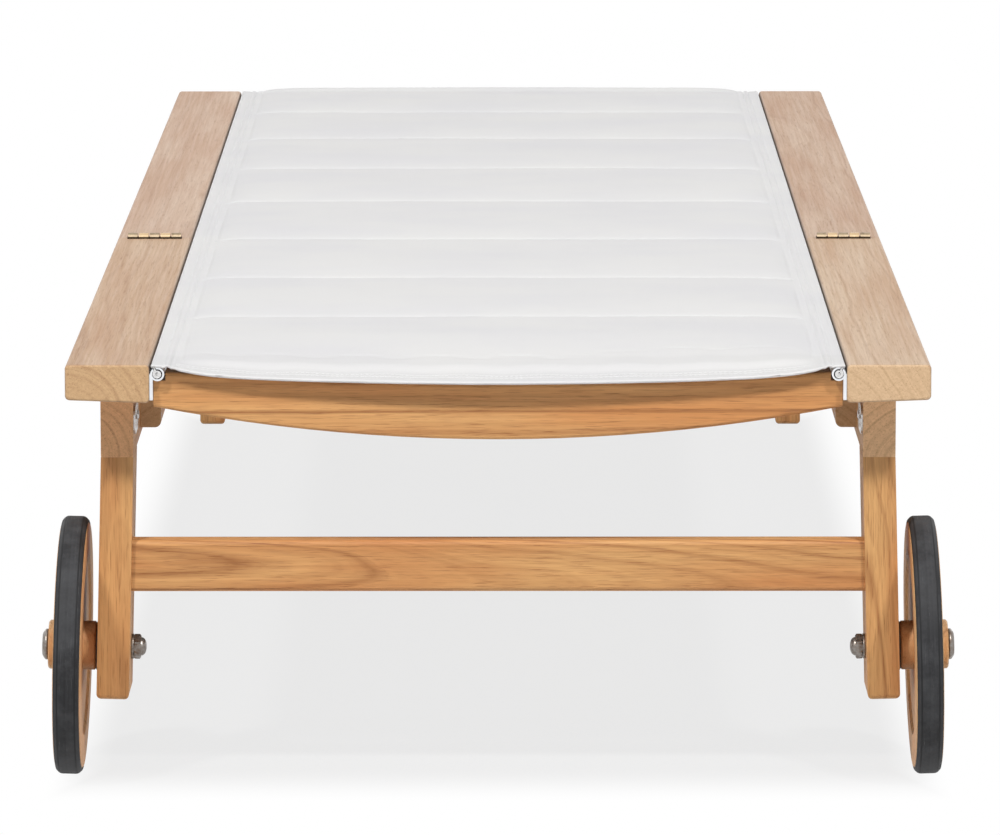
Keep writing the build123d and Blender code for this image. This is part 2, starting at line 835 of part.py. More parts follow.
def rack():
    """Notched block on the inner face of a beam, with a tall stop at its head end."""
    start, end = rack_range()
    bottom = rail_top - rack_bottom_drop
    bar = box_between((rack_inner_x, start, bottom), (beam_inner_x, end, rack_tooth_z()))
    bar += box_between((rack_inner_x, start, bottom),
                       (beam_inner_x, start + rack_block_length, rail_top - rack_block_drop))
    low_edge = bar.edges().filter_by(Axis.Y).group_by(Axis.Z)[0].sort_by(Axis.X)[0]
    bar = fillet(low_edge, rack_round)
    notch_radius = prop_bar_radius + rack_notch_gap
    for share in rack_tilt_shares:
        y = prop_path(tilt_limit * share)[0]
        z = rack_tooth_z() - rack_notch_depth + notch_radius
        bar -= rod_x(notch_radius, rack_inner_x - overrun, beam_inner_x, y, z)
        bar -= box_between((rack_inner_x - overrun, y - notch_radius, z),
                           (beam_inner_x, y + notch_radius, rail_top))
    for y, z in rack_screw_places():
        bar -= rod_x(rack_screw_head_radius, rack_inner_x - overrun, rack_inner_x + rack_screw_radius, y, z)
        bar -= rod_x(rack_screw_radius, rack_inner_x, beam_inner_x + overrun, y, z)
    return bar


def rack_screw_places():
    """Screws in the head block, the middle and the tail, clear of the notches."""
    start, end = rack_range()
    z = rail_top - rack_bottom_drop + rack_screw_head_radius + rack_round / 2
    step = (end - start - rack_block_length) / (rack_screw_count - 1)
    return [(start + rack_block_length / 2 + step * i, z) for i in range(rack_screw_count)]


def rack_screw(y, z):
    head = rod_x(rack_screw_head_radius, rack_inner_x, rack_inner_x + rack_screw_radius, y, z)
    return head + rod_x(rack_screw_radius, rack_inner_x, rack_inner_x + rack_screw_length, y, z)


# Plates at the head ends of the beams


def plate_y():
    start = head_y + beam_end_setback + plate_set_in
    return start, start + plate_length


def plate_screw_places():
    start, end = plate_y()
    z = rail_top - plate_top_drop - plate_height / 2
    return [((start + end) / 2 + side * plate_length * plate_screw_share, z) for side in (-1, 1)]


def beam_plate():
    start, end = plate_y()
    top = rail_top - plate_top_drop
    plate = box_between((beam_inner_x - plate_thick, start, top - plate_height),
                        (beam_inner_x, end, top))
    plate = fillet(plate.edges().filter_by(Axis.X), plate_round)
    for y, z in plate_screw_places():
        plate -= rod_x(plate_screw_radius, beam_inner_x - plate_thick - overrun,
                       beam_inner_x + overrun, y, z)
    return plate


def plate_screw(y, z):
    face = beam_inner_x - plate_thick
    tip = beam_mid_x - leg_tenon_thick / 2 - joint_clearance - plate_screw_tip_gap
    screw = rod_x(plate_screw_head_radius, face - plate_screw_head_thick, face, y, z)
    return screw + rod_x(plate_screw_radius, face, tip, y, z)


# Wheels, turned about X


def turned(points):
    """Solid of revolution about X from an outline of (x, radius) points."""
    outline = Polyline(*points, close=True)
    return revolve(Plane.XY * make_face(outline), Axis.X, 360)


def tyre():
    """Solid tyre with bevelled shoulders, seated on the rim of the disc."""
    middle = wheel_middle()
    half = tyre_width / 2
    seat = wheel_radius - tyre_wall
    shoulder = wheel_radius - tyre_bevel
    return turned([
        (middle - half, seat),
        (middle - half, shoulder),
        (middle - half + tyre_bevel, wheel_radius),
        (middle + half - tyre_bevel, wheel_radius),
        (middle + half, shoulder),
        (middle + half, seat),
    ])


def wheel_disc():
    """Turned wooden disc with a raised rim, a thinner web and a hub that stands proud."""
    middle = wheel_middle()
    rim = disc_thick / 2
    web = rim - disc_web_recess
    hub = rim + hub_proud
    seat = wheel_radius - tyre_wall
    bevel = disc_edge_round
    half = [
        (hub, bush_radius),
        (hub, hub_radius - bevel),
        (hub - bevel, hub_radius),
        (web, hub_radius),
        (web, disc_rim_inner_radius),
        (rim, disc_rim_inner_radius + disc_web_recess),
        (rim, seat - bevel),
        (rim - bevel, seat),
    ]
    points = [(middle + x, r) for x, r in half]
    points += [(middle - x, r) for x, r in reversed(half)]
    return turned(points)


def wheel_bush():
    half = disc_thick / 2 + hub_proud
    middle = wheel_middle()
    bush = rod_x(bush_radius, middle - half, middle + half, 0, 0)
    bore = axle_radius + axle_running_clearance
    return bush - rod_x(bore, middle - half - overrun, middle + half + overrun, 0, 0)


def wheel_spacer():
    start = beam_width / 2
    ring = rod_x(hub_radius, start, start + spacer_thick, 0, 0)
    return ring - rod_x(axle_radius, start - overrun, start + spacer_thick + overrun, 0, 0)


def axle_bolt():
    """Axle bolt with a low domed head outside the wheel."""
    head = wheel_middle() + disc_thick / 2 + hub_proud + axle_head_gap
    end = -beam_width / 2 - washer_thick - nut_hex_thick
    edge = axle_head_thick / 2
    return turned([
        (end, 0),
        (end, axle_radius),
        (head, axle_radius),
        (head, axle_head_radius),
        (head + edge, axle_head_radius),
        (head + axle_head_thick, axle_head_radius - edge),
        (head + axle_head_thick, 0),
    ])


def axle_washer():
    face = -beam_width / 2
    ring = rod_x(washer_radius, face - washer_thick, face, 0, 0)
    return ring - rod_x(axle_radius, face - washer_thick - overrun, face + overrun, 0, 0)


def axle_cap_nut():
    """Hexagonal cap nut with a domed end."""
    face = -beam_width / 2 - washer_thick
    across_corners = nut_across_flats / 2 / math.cos(math.radians(30))
    hexagon = Plane(origin=(face, 0, 0), x_dir=(0, 1, 0), z_dir=(-1, 0, 0)) * RegularPolygon(
        across_corners, 6
    )
    nut = extrude(hexagon, amount=nut_hex_thick)
    dome_start = face - nut_hex_thick
    dome_end = face - nut_length
    rise = (nut_dome_radius - axle_radius) / 2
    nut += turned([
        (dome_start, 0),
        (dome_start, nut_dome_radius),
        (dome_end + rise, nut_dome_radius - rise),
        (dome_end, axle_radius - rise),
        (dome_end, 0),
    ])
    return nut - rod_x(axle_radius, face - nut_hex_thick, face + overrun, 0, 0)


def build_parts():
    """Every named piece, as a list of its solids."""
    parts = {}

    def pair(name, shape):
        parts[name + "_right"] = [shape]
        parts[name + "_left"] = [other_side(shape)]

    back_rail = side_rail(head_y, hinge_y - rail_joint_gap / 2, head_y)
    seat_rail = side_rail(hinge_y + rail_joint_gap / 2, foot_y, foot_y)
    for y in rail_dowel_places():
        seat_rail -= rail_dowel(y)
    for y_start, _ in back_bow_places():
        back_rail -= bow_dowels(y_start)[0]
    for y_start, _ in seat_bow_places():
        seat_rail -= bow_dowels(y_start)[0]
    for screw in hinge_screws(0):
        seat_rail -= screw
    for screw in hinge_screws(1):
        back_rail -= screw
    for y in track_screw_places(True):
        back_rail -= track_screw(y)
    for y in track_screw_places(False):
        seat_rail -= track_screw(y)
    for x, y in bracket_screw_places():
        back_rail -= bracket_screw(x, y)
    pair("back_rail", back_rail)
    pair("seat_rail", seat_rail)

    beam = beam_with_mortises()
    for y, z in rack_screw_places():
        beam -= rack_screw(y, z)
    for y, z in plate_screw_places():
        beam -= plate_screw(y, z)
    pair("side_beam", beam)
    pair("head_leg", head_leg())
    pair("foot_leg", foot_leg())
    parts["head_stretcher"] = [
        stretcher(stretcher_y(head_leg_y(), False), splayed_leg_blank(), head_leg_face_x())
    ]
    foot_blank = box_between((beam_inner_x, foot_leg_y()[0], 0),
                             (beam_outer_x, foot_leg_y()[1], beam_bottom_z))
    parts["foot_stretcher"] = [stretcher(stretcher_y(foot_leg_y(), True), foot_blank, beam_inner_x)]
    parts["rail_dowels"] = both_sides([rail_dowel(y) for y in rail_dowel_places()])

    for name, (y_start, top) in zip(("head_bow_rail", "back_hinge_bow_rail"), back_bow_places()):
        parts[name] = [bow_rail(y_start, top)]
    seat_names = ("seat_hinge_bow_rail", "seat_middle_bow_rail", "foot_bow_rail")
    for name, (y_start, top) in zip(seat_names, seat_bow_places()):
        parts[name] = [bow_rail(y_start, top)]
    parts["back_bow_dowels"] = [d for y, _ in back_bow_places() for d in bow_dowels(y)]
    parts["seat_bow_dowels"] = [d for y, _ in seat_bow_places() for d in bow_dowels(y)]

    for prefix, back in (("back", True), ("seat", False)):
        pair(prefix + "_sling_track", sling_track(back))
        parts[prefix + "_track_screws"] = both_sides([track_screw(y) for y in track_screw_places(back)])
        parts[prefix + "_sling_splines"] = both_sides([spline(back)])
        parts[prefix + "_sling"] = [sling(back)]

    parts["hinge_seat_leaves"] = both_sides([hinge_leaf(0)])
    parts["hinge_back_leaves"] = both_sides([hinge_leaf(1)])
    parts["hinge_pins"] = both_sides([hinge_pin()])
    parts["hinge_seat_screws"] = both_sides(hinge_screws(0))
    parts["hinge_back_screws"] = both_sides(hinge_screws(1))

    pair("prop_arm", prop_arm())
    parts["prop_bar"] = [prop_bar()]
    parts["prop_washers"] = both_sides([prop_washer()])
    parts["prop_bolts"] = both_sides([prop_bolt()])
    parts["prop_brackets"] = both_sides([prop_bracket()])
    parts["prop_bracket_screws"] = both_sides([bracket_screw(x, y) for x, y in bracket_screw_places()])
    pair("prop_rack", rack())
    parts["rack_screws"] = both_sides([rack_screw(y, z) for y, z in rack_screw_places()])
    parts["beam_plates"] = both_sides([beam_plate()])
    parts["beam_plate_screws"] = both_sides([plate_screw(y, z) for y, z in plate_screw_places()])

    pair("tyre", on_axle(tyre()))
    pair("wheel_disc", on_axle(wheel_disc()))
    pair("wheel_bush", on_axle(wheel_bush()))
    parts["wheel_spacers"] = both_sides([on_axle(wheel_spacer())])
    parts["axle_bolts"] = both_sides([on_axle(axle_bolt())])
    parts["axle_washers"] = both_sides([on_axle(axle_washer())])
    parts["axle_cap_nuts"] = both_sides([on_axle(axle_cap_nut())])
    return parts


def write_parts():
    os.makedirs("parts", exist_ok=True)
    for name, shapes in build_parts().items():
        solids = [solid for shape in shapes for solid in shape.solids()]
        export_step(Compound(children=solids), "parts/" + name + ".step")


write_parts()
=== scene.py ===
import math

import bpy
import numpy as np
from mathutils import Matrix, Vector, noise


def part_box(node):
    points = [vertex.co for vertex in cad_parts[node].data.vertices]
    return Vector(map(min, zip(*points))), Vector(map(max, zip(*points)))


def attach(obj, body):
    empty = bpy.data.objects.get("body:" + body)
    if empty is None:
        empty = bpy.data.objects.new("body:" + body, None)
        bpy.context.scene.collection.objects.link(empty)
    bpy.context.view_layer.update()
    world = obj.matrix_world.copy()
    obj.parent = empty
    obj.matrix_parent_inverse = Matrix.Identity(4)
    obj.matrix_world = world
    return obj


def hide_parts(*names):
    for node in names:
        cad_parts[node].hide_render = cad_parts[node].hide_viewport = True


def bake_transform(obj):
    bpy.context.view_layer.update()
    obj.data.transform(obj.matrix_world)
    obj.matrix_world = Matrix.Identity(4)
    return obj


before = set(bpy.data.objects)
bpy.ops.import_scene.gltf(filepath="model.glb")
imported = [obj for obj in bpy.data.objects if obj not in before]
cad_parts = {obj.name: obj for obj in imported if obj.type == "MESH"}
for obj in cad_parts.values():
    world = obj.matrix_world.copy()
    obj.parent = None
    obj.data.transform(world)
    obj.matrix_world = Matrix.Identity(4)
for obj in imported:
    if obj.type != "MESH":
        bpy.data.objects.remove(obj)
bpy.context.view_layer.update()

# The lounger lies along Y with its wheels at -Y. Everything is in metres.

# Painted shade on the rails in the gap beside the sling, and low in the hinge grooves
GAP_SHADE_REACH = 0.0016
GAP_SHADE_SHARE = 0.85
HINGE_SHADE_RISE = 0.0012
HINGE_SHADE_FADE = 0.0006
HINGE_SHADE_SHARE = 0.92

# Camera, matched to the photograph
CAMERA_PLACE = (0.0063, -6.7669, 1.1261)
CAMERA_PITCH = math.radians(8.275)
CAMERA_YAW = math.radians(-0.048)
CAMERA_ROLL = math.radians(-0.028)
CAMERA_LENS = 274.7
SENSOR_WIDTH = 36.0
CAMERA_SIGHT = 100.0

# Lamps and stage
LAMP_DISTANCE = 36.0
LAMP_SIZE = 3.6
# Lamp pairs: turn from the head end and rise, in degrees, and power
LAMP_PAIRS = (
    ("front_lamp", 35, 50, 7350.0),
    ("low_lamp", 19, 22, 110.0),
    ("back_lamp", 150, 20, 700.0),
)
TOP_LAMP_HEIGHT = 3.2
TOP_LAMP_SIZE = (3.4, 4.6)
TOP_LAMP_POWER = 3.0
SKY_STRENGTH = 0.04
FLOOR_HALF = 16.0
FLOOR_ALBEDO = 0.8
FLOOR_SEEN_ALBEDO = 0.055
FLOOR_GLOW = 0.794
# Painted shadow on the floor: a soft-edged rectangle under the lounger, across and along
FLOOR_SHADE_ACROSS = (0.30, 0.35)
FLOOR_SHADE_ALONG = (0.92, 1.06)
FLOOR_SPECKLE = 0.98

# Sling: places across are measured in from the fabric's outer edge, ends from the free edge
RAIL_GAP = 0.0017
HEM_TOP_DROP = 0.0003
HEM_THICK = 0.0020
HEM_WIDTH = 0.0195
HEM_ROLL = 0.0030
HEM_ROLL_RISE = 0.0004
HEM_RIDGE = 0.0004
HEM_RIDGE_WIDE = 0.0016
HEM_EDGE = 0.004
HEM_NICK = 0.0005
HEM_NICK_WIDE = 0.0012
HEM_NICK_START = 0.006
PAD_EDGE = 0.0040
PAD_RISE = 0.0068
PAD_SOFTNESS = 0.012
SEAM_RISE = 0.0014
SEAM_SHOULDER = 0.042
PANEL_FALL = 1.5
SEAM_CREASE = 0.0010
SEAM_CREASE_REACH = 0.0028
SEAM_BEND = 0.008
SEAM_BEND_REACH = 0.020
SEAM_PULL_REACH = 0.085
PAD_THICK = 0.0070
SEAM_THICK = 0.0024
PANEL_PITCH = 0.263
SEAM_DRIFTS = (0.003, -0.014, -0.013, 0.006, 0.008, 0.003, -0.018)
END_SET_IN = 0.0005
END_BOW = 0.0058
END_BOW_REACH = 0.07
FOOT_LIFT = 0.0036
FOOT_LIFT_REACH = 0.10
END_HEM = 0.020
END_HEM_EDGE = 0.004
END_PAD_START = 0.002
END_PAD_EDGE = 0.014
END_THICK = 0.0026
END_SAG = 0.0119
END_SAG_START = 0.013
END_SAG_REACH = 0.150
END_SAG_POWER = 1.15
END_SAG_QUICK = 0.62
END_SAG_QUICK_REACH = 0.10
END_SAG_ROUND = 1.6
END_FOLD = 0.058
END_FOLD_AT_HEM = 0.35
END_FOLD_HEM_REACH = 0.018
END_FOLD_WIDE = 0.026
END_FOLD_WIDE_FROM = 0.05
END_FOLD_WIDE_OVER = 0.07
END_FOLD_WAVE = 0.005
END_CREASE = 0.0009
END_CREASE_WIDE = 0.0016
END_WAVE = 0.0007
END_WAVE_PITCH = 0.062
END_WAVE_PHASE = 1.1
SIDE_STITCH_ROWS = (0.0088, 0.0148)
END_STITCH_ROWS = (0.0200, 0.0125)
STITCH_GROOVE = 0.0006
STITCH_GROOVE_WIDTH = 0.0011
STITCH_LENGTH = 0.0030
STITCH_PITCH = 0.0038
STITCH_RADIUS = 0.00028
STITCH_LIFT = 0.7
STITCH_DIP = 0.6
STITCH_SWELLS = ((0.0, 0.35), (0.25, 1.0), (0.75, 1.0), (1.0, 0.35))
STITCH_SIDES = 6

# Uneven relief of the cloth: height, seed, and pitches across and along
PUCKERS = (0.00030, 3.7, 0.011, 0.05)
PUCKER_REACH = 0.012
CORNER_CREASES = (0.0011, 9.1, 0.014, 0.006)
CORNER_REACH = 0.022
CORNER_SEAM_REACH = 0.016
PAD_LUMPS = (0.00045, 5.2, 0.13, 0.11)
HEM_LUMPS = (0.00018, 7.7, 0.02, 0.035)

# Sling grid: columns measured in from the side edge, rows from each seam and each free end
EDGE_COLUMNS = (0.0, 0.0004, 0.0009, 0.0015, 0.0022)
HEM_COLUMNS = (0.003, 0.026, 0.0006)
PAD_EDGE_COLUMNS = (0.026, 0.05, 0.002)
MIDDLE_START = 0.05
MIDDLE_COLUMNS = 27
SEAM_ROWS = (0, 0.0006, 0.0012, 0.002, 0.003, 0.0045, 0.0065, 0.009, 0.012, 0.016, 0.021, 0.027,
             0.035)
ROW_PITCH = 0.009
END_ROWS = (0, 0.032, 0.0009)
END_PAD_ROWS = (0.032, 0.11, 0.003)
LEAST_ROW = 0.0005
RIM_SHARES = (0.16, 0.5, 0.84)
RIM_PUSH = 0.45
RIM_SIDE_PUSH = 0.0006

# Fabric rolled round a rod in each track ring
ROLL_SHEET = 0.0011
ROLL_TURNS = 1.9
ROLL_INNER = 0.0010
ROLL_OUTER = 0.0032
ROLL_ROD = 0.0008
ROLL_ROD_SIDES = 12
ROLL_STEPS = 44
RING_DROP = 0.0074
SLOT_ANGLE = math.radians(62)
SLOT_PLACES = (0.0042, 0.0052, 0.0060)
HEM_TURN_IN = 0.0002
HEM_TURN_REACH = 0.0068
HEM_TURN_SHARES = (0.6, 0.35)

# Wheel parts, along the axle from the middle of the wheel
SPLAY = math.radians(1.5)
TYRE_WIDTH = 0.020
TYRE_WALL = 0.0045
TYRE_SHOULDER = 0.0030
TYRE_ARC = 0.0022
TYRE_SIDES = 160
TYRE_LINE = 0.0068
TYRE_LINE_EDGE = (0.0003, 0.0009)
TYRE_WORN_RIM = (0.0965, 0.0990)
AXLE_RADIUS = 0.005
AXLE_HEAD_START = 0.0190
AXLE_HEAD_RADIUS = 0.0120
AXLE_HEAD_THICK = 0.0046
AXLE_HEAD_ARC = 0.0009
AXLE_SIDES = 64
AXLE_HEAD_DOME = ((0.45, 1.0), (0.95, 0.72), (1.0, 0.0))
LEG_INNER_FACE = -0.0454
WASHER_THICK = 0.0020
WASHER_RADIUS = 0.0098
WASHER_ARC = 0.0005
NUT_FLATS = 0.0170
NUT_HEX = 0.0056
NUT_LENGTH = 0.0098
NUT_DOME_RADIUS = 0.0072
NUT_SIDES = 72
NUT_CONE = 1.02
NUT_CONE_TOP = 0.97
NUT_CHAMFER_LOW = 0.0007
NUT_CHAMFER_HIGH = 0.0009
NUT_DOME_POWER = 0.8
NUT_DOME_STEPS = 8


def srgb(*values):
    """Linear colour from the 0 to 255 values of a picture."""
    shares = [v / 255 for v in values]
    linear = [s / 12.92 if s <= 0.04045 else ((s + 0.055) / 1.055) ** 2.4 for s in shares]
    return (*linear, 1.0)


def smooth(t):
    """Smooth step from 0 at t=0 to 1 at t=1, for arrays too."""
    t = np.clip(t, 0.0, 1.0)
    return t * t * (3 - 2 * t)


# Materials


class Graph:
    """A material whose nodes are written as short expressions."""

    def __init__(self, name):
        self.material = bpy.data.materials.new(name)
        self.material.use_nodes = True
        self.tree = self.material.node_tree
        self.shader = self.tree.nodes["Principled BSDF"]
        coords = self.add("ShaderNodeTexCoord").outputs
        self.place, self.normal = coords["Object"], coords["Normal"]

    def feed(self, socket, value):
        if isinstance(value, bpy.types.NodeSocket):
            self.tree.links.new(value, socket)
        else:
            socket.default_value = value

    def add(self, kind, inputs=None, **settings):
        node = self.tree.nodes.new(kind)
        for key, value in settings.items():
            setattr(node, key, value)
        for key, value in (inputs or {}).items():
            self.feed(node.inputs[key], value)
        return node

    def math(self, operation, *values):
        return self.add("ShaderNodeMath", dict(enumerate(values)), operation=operation).outputs[0]

    def plus(self, a, b):
        return self.math("ADD", a, b)

    def minus(self, a, b):
        return self.math("SUBTRACT", a, b)

    def times(self, a, b):
        return self.math("MULTIPLY", a, b)

    def absolute(self, value):
        return self.math("ABSOLUTE", value)

    def vector_math(self, operation, a, b):
        return self.add("ShaderNodeVectorMath", {0: a, 1: b}, operation=operation).outputs[0]

    def split(self, vector):
        return self.add("ShaderNodeSeparateXYZ", {0: vector}).outputs

    def join(self, x, y, z):
        return self.add("ShaderNodeCombineXYZ", {0: x, 1: y, 2: z}).outputs[0]

    def noise(self, vector, stretch=None, scale=1.0, detail=2.0, roughness=0.5):
        """Noise from 0 to 1, finer along an axis with a larger stretch."""
        if stretch:
            vector = self.vector_math("MULTIPLY", vector, stretch)
        inputs = {"Vector": vector, "Scale": scale, "Detail": detail, "Roughness": roughness}
        return self.add("ShaderNodeTexNoise", inputs).outputs["Fac"]

    def noise_1d(self, value, detail=0.0):
        inputs = {"W": value, "Scale": 1.0, "Detail": detail}
        return self.add("ShaderNodeTexNoise", inputs, noise_dimensions="1D").outputs["Fac"]

    def between(self, value, low, high, to_low=0.0, to_high=1.0, kind="LINEAR"):
        """Map a value from one range to another, clamped."""
        inputs = {0: value, 1: low, 2: high, 3: to_low, 4: to_high}
        return self.add("ShaderNodeMapRange", inputs, interpolation_type=kind).outputs[0]

    def ramp(self, value, stops):
        node = self.add("ShaderNodeValToRGB", {0: value})
        elements = node.color_ramp.elements
        while len(elements) < len(stops):
            elements.new(0.5)
        for element, (place, level) in zip(elements, stops):
            element.position = place
            element.color = (level, level, level, 1)
        return node.outputs["Color"]

    def mix(self, share, low, high):
        node = self.add("ShaderNodeMix", {0: share, 6: low, 7: high}, data_type="RGBA")
        return node.outputs[2]

    def bump(self, height, distance, strength=1.0):
        inputs = {"Height": height, "Distance": distance, "Strength": strength}
        return self.add("ShaderNodeBump", inputs).outputs["Normal"]

    def finish(self, **inputs):
        for key, value in inputs.items():
            self.feed(self.shader.inputs[key.replace("_", " ")], value)
        return self.material


def palette(*tones):
    return [srgb(*tone) for tone in tones]


# Teak: light, dark and warm tones; ends have no warm one
# Painted sheen: the rails' paler, pinker tones stand in for the light's sheen on their tops
TEAK_TOP = palette((204, 175, 146), (158, 121, 91), (188, 151, 119))
TEAK_TOP_PALE = palette((209, 183, 155), (163, 129, 100), (193, 159, 128))
TEAK_TOP_COOL = palette((209, 183, 160), (163, 129, 105), (193, 159, 133))
TEAK_TOP_MILD = palette((203, 176, 152), (157, 122, 97), (187, 152, 125))
TEAK_BODY = palette((221, 171, 111), (148, 94, 50), (206, 142, 86))
# Painted light: a lighter copy of the body teak, lifting the front face of the head bow rail
TEAK_BOW = palette((226, 174, 113), (150, 96, 52), (212, 147, 88))
# Painted light: the wheel discs are lightened against the shade on their inner faces
TEAK_DISC = palette((234, 188, 132), (172, 120, 74), (222, 162, 108))
TEAK_END = palette((216, 180, 136), (160, 116, 76))
TEAK_GOLD_END = palette((210, 174, 131), (155, 111, 72))
TEAK_PALE_END = palette((222, 190, 151), (168, 126, 90))
# Painted light: the beam end tones are lightened against the shadow of the rail ends
TEAK_RED_END = palette((235, 183, 133), (162, 110, 70))
TEAK_PALE_RED_END = palette((247, 205, 157), (172, 124, 84))

# Teak: how noise is stretched, across and along the grain
WOBBLE_STRETCH = (9, 9, 2.2)
BROAD_STRETCH = (26, 26, 3.4)
FIBRE_STRETCH = (420, 420, 7)
DASH_STRETCH = (1050, 1050, 40)
PORE_STRETCH = (1500, 1500, 38)

# Growth rings: dark line over one ring, and how the rings differ
RING_PITCH = 0.0075
RING_WOBBLE = 0.022
RING_FRAY = 0.12
RING_LINE = ((0, 0.30), (0.10, 0.02), (0.66, 0.14), (0.88, 1.0), (0.97, 0.42))
RING_STEP = 3.71
RING_VARIETY = (0.3, 0.7, 0.25, 1.0)
STREAK_STEP = 4.3
STREAK_SHARE = 0.18

# Ranges of noise, each followed by the darkness that it gives
FIBRE_DARK = (0.35, 0.68, 0.0, 0.26)
PORE_DARK = (0.57, 0.68, 0.0, 0.30)
DASH_DARK = (0.60, 0.66, 0.0, 0.36)

END_DARK = 0.85
END_FACING = (0.55, 0.85)
# Painted shade in the gap beside the sling: on side faces only, in this dark colour
GAP_SHADE_FACING = (0.3, 0.6, 1.0, 0.0)
GAP_SHADE_COLOUR = srgb(38, 26, 18)
WOOD_ROUGHNESS = (0.3, 0.7, 0.44, 0.62)
WOOD_RELIEF = 0.00022


def teak(name, grain, pith, start, seed, slope=0.02, figure=0.52, gap_shade_from=None, tones=TEAK_BODY,
         end_tones=TEAK_END):
    """Teak with growth rings round a pith line that slowly leaves the grain axis."""
    g = Graph(name)
    axes = g.split(g.place)
    across = [axes[i] for i in range(3) if i != grain]
    along = axes[grain]
    fibre_at = g.join(*across, along)
    wobble_at = g.vector_math("ADD", fibre_at, (seed, seed, seed))
    wobble = g.times(g.minus(g.noise(wobble_at, WOBBLE_STRETCH, detail=3), 0.5), RING_WOBBLE)
    drift = g.times(g.minus(along, start), slope)
    squares = []
    for axis, middle in zip(across, pith):
        shifted = g.plus(g.plus(g.minus(axis, middle), drift), wobble)
        squares.append(g.times(shifted, shifted))
    radius = g.math("SQRT", g.plus(*squares))
    fibre = g.noise(fibre_at, FIBRE_STRETCH, detail=4, roughness=0.62)
    fine = g.noise(fibre_at, PORE_STRETCH, detail=2, roughness=0.6)
    dash = g.noise(fibre_at, DASH_STRETCH, detail=2)
    broad = g.noise(wobble_at, BROAD_STRETCH, detail=3)
    rings = g.plus(g.plus(g.math("DIVIDE", radius, RING_PITCH), seed), g.times(fibre, RING_FRAY))
    line = g.ramp(g.math("FRACT", rings), RING_LINE)
    vary = g.between(g.noise_1d(g.times(g.math("FLOOR", rings), RING_STEP)), *RING_VARIETY)
    streak = g.between(g.noise_1d(g.times(rings, STREAK_STEP), detail=2), 0.3, 0.7)
    pores = g.between(fine, *PORE_DARK)
    tone = g.times(g.times(line, vary), figure)
    for darker in (g.times(streak, STREAK_SHARE), g.between(fibre, *FIBRE_DARK), pores,
                   g.between(dash, *DASH_DARK)):
        tone = g.plus(tone, darker)
    light, dark, warm = tones
    side = g.mix(tone, g.mix(g.between(broad, 0.38, 0.64), light, warm), dark)
    end = g.mix(g.times(tone, END_DARK), *end_tones)
    facing = g.absolute(g.split(g.normal)[grain])
    colour = g.mix(g.between(facing, *END_FACING), side, end)
    # Painted shade: darker within a reach of the rail's inner edge, beside the sling
    if gap_shade_from:
        in_gap = g.between(g.absolute(axes[0]), gap_shade_from, gap_shade_from + GAP_SHADE_REACH, GAP_SHADE_SHARE, 0.0)
        in_gap = g.times(in_gap, g.between(facing, *GAP_SHADE_FACING))
        colour = g.mix(in_gap, colour, GAP_SHADE_COLOUR)
    relief = g.plus(g.times(fibre, 0.5), g.times(pores, -1.6))
    return g.finish(Base_Color=colour, Roughness=g.between(fibre, *WOOD_ROUGHNESS),
                    Normal=g.bump(relief, WOOD_RELIEF, 0.8), Specular_IOR_Level=0.42)


# Fabric
THREAD_PITCH = 0.0014
WEAVE_RELIEF = 0.00016
HEAD_GREY_EDGE = (-0.006, 0.004)
HEAD_GREY_SHARE = 0.2


def mesh_fabric():
    """White coated mesh: a fine basket weave, a little greyer from the head end up to its fold."""
    g = Graph("sling_mesh")
    x, y, z = g.split(g.place)
    waves = [g.math("SINE", g.times(axis, 2 * math.pi / THREAD_PITCH)) for axis in (x, y, z)]
    facing = g.absolute(g.split(g.normal)[2])
    weave = g.mix(facing, waves[2], g.times(waves[0], waves[1]))
    thread = g.noise(g.place, (60, 900, 60), detail=2)
    cloud = g.noise(g.place, (7, 9, 7), detail=3)
    clean = g.mix(g.between(cloud, 0.35, 0.65), srgb(230, 229, 228), srgb(226, 225, 226))
    fold = HEAD_Y + END_FOLD
    head_grey = g.between(y, fold + HEAD_GREY_EDGE[0], fold + HEAD_GREY_EDGE[1], HEAD_GREY_SHARE, 0.0)
    clean = g.mix(head_grey, clean, srgb(208, 207, 205))
    colour = g.mix(g.between(weave, -1.0, 1.0, 0.10, 0.0), clean, srgb(176, 176, 178))
    height = g.plus(g.times(weave, 0.5), g.times(thread, 0.5))
    return g.finish(Base_Color=colour, Roughness=0.7, Normal=g.bump(height, WEAVE_RELIEF, 0.6),
                    Specular_IOR_Level=0.2)


def thread_material():
    g = Graph("sewing_thread")
    lay = g.noise(g.place, (2500, 2500, 2500), detail=1)
    colour = g.mix(lay, srgb(236, 236, 235), srgb(206, 206, 207))
    return g.finish(Base_Color=colour, Roughness=0.55, Normal=g.bump(lay, 0.0001, 0.5))


def steel(name, base, stain, stain_share, roughness=(0.16, 0.34), shaded_below=None):
    """Metal with fine polishing lines, brownish stains and, in a groove, painted shade below a
    height.
    """
    g = Graph(name)
    lines = g.noise(g.place, (90, 2600, 900), detail=2)
    spots = g.noise(g.place, scale=220, detail=4, roughness=0.65)
    stained = g.between(spots, 0.62 - stain_share * 0.3, 0.7)
    colour = g.mix(g.times(stained, stain_share), base, stain)
    if shaded_below:
        # Painted shade: dark low in the hinge groove, under the given height
        low = g.between(g.split(g.place)[2], shaded_below, shaded_below + HINGE_SHADE_FADE,
                        HINGE_SHADE_SHARE, 0.0)
        colour = g.mix(low, colour, srgb(30, 18, 10))
    rough = g.plus(g.between(lines, 0.3, 0.7, *roughness), g.times(stained, 0.15))
    return g.finish(Base_Color=colour, Metallic=1.0, Roughness=rough,
                    Normal=g.bump(lines, 0.00004, 0.4))


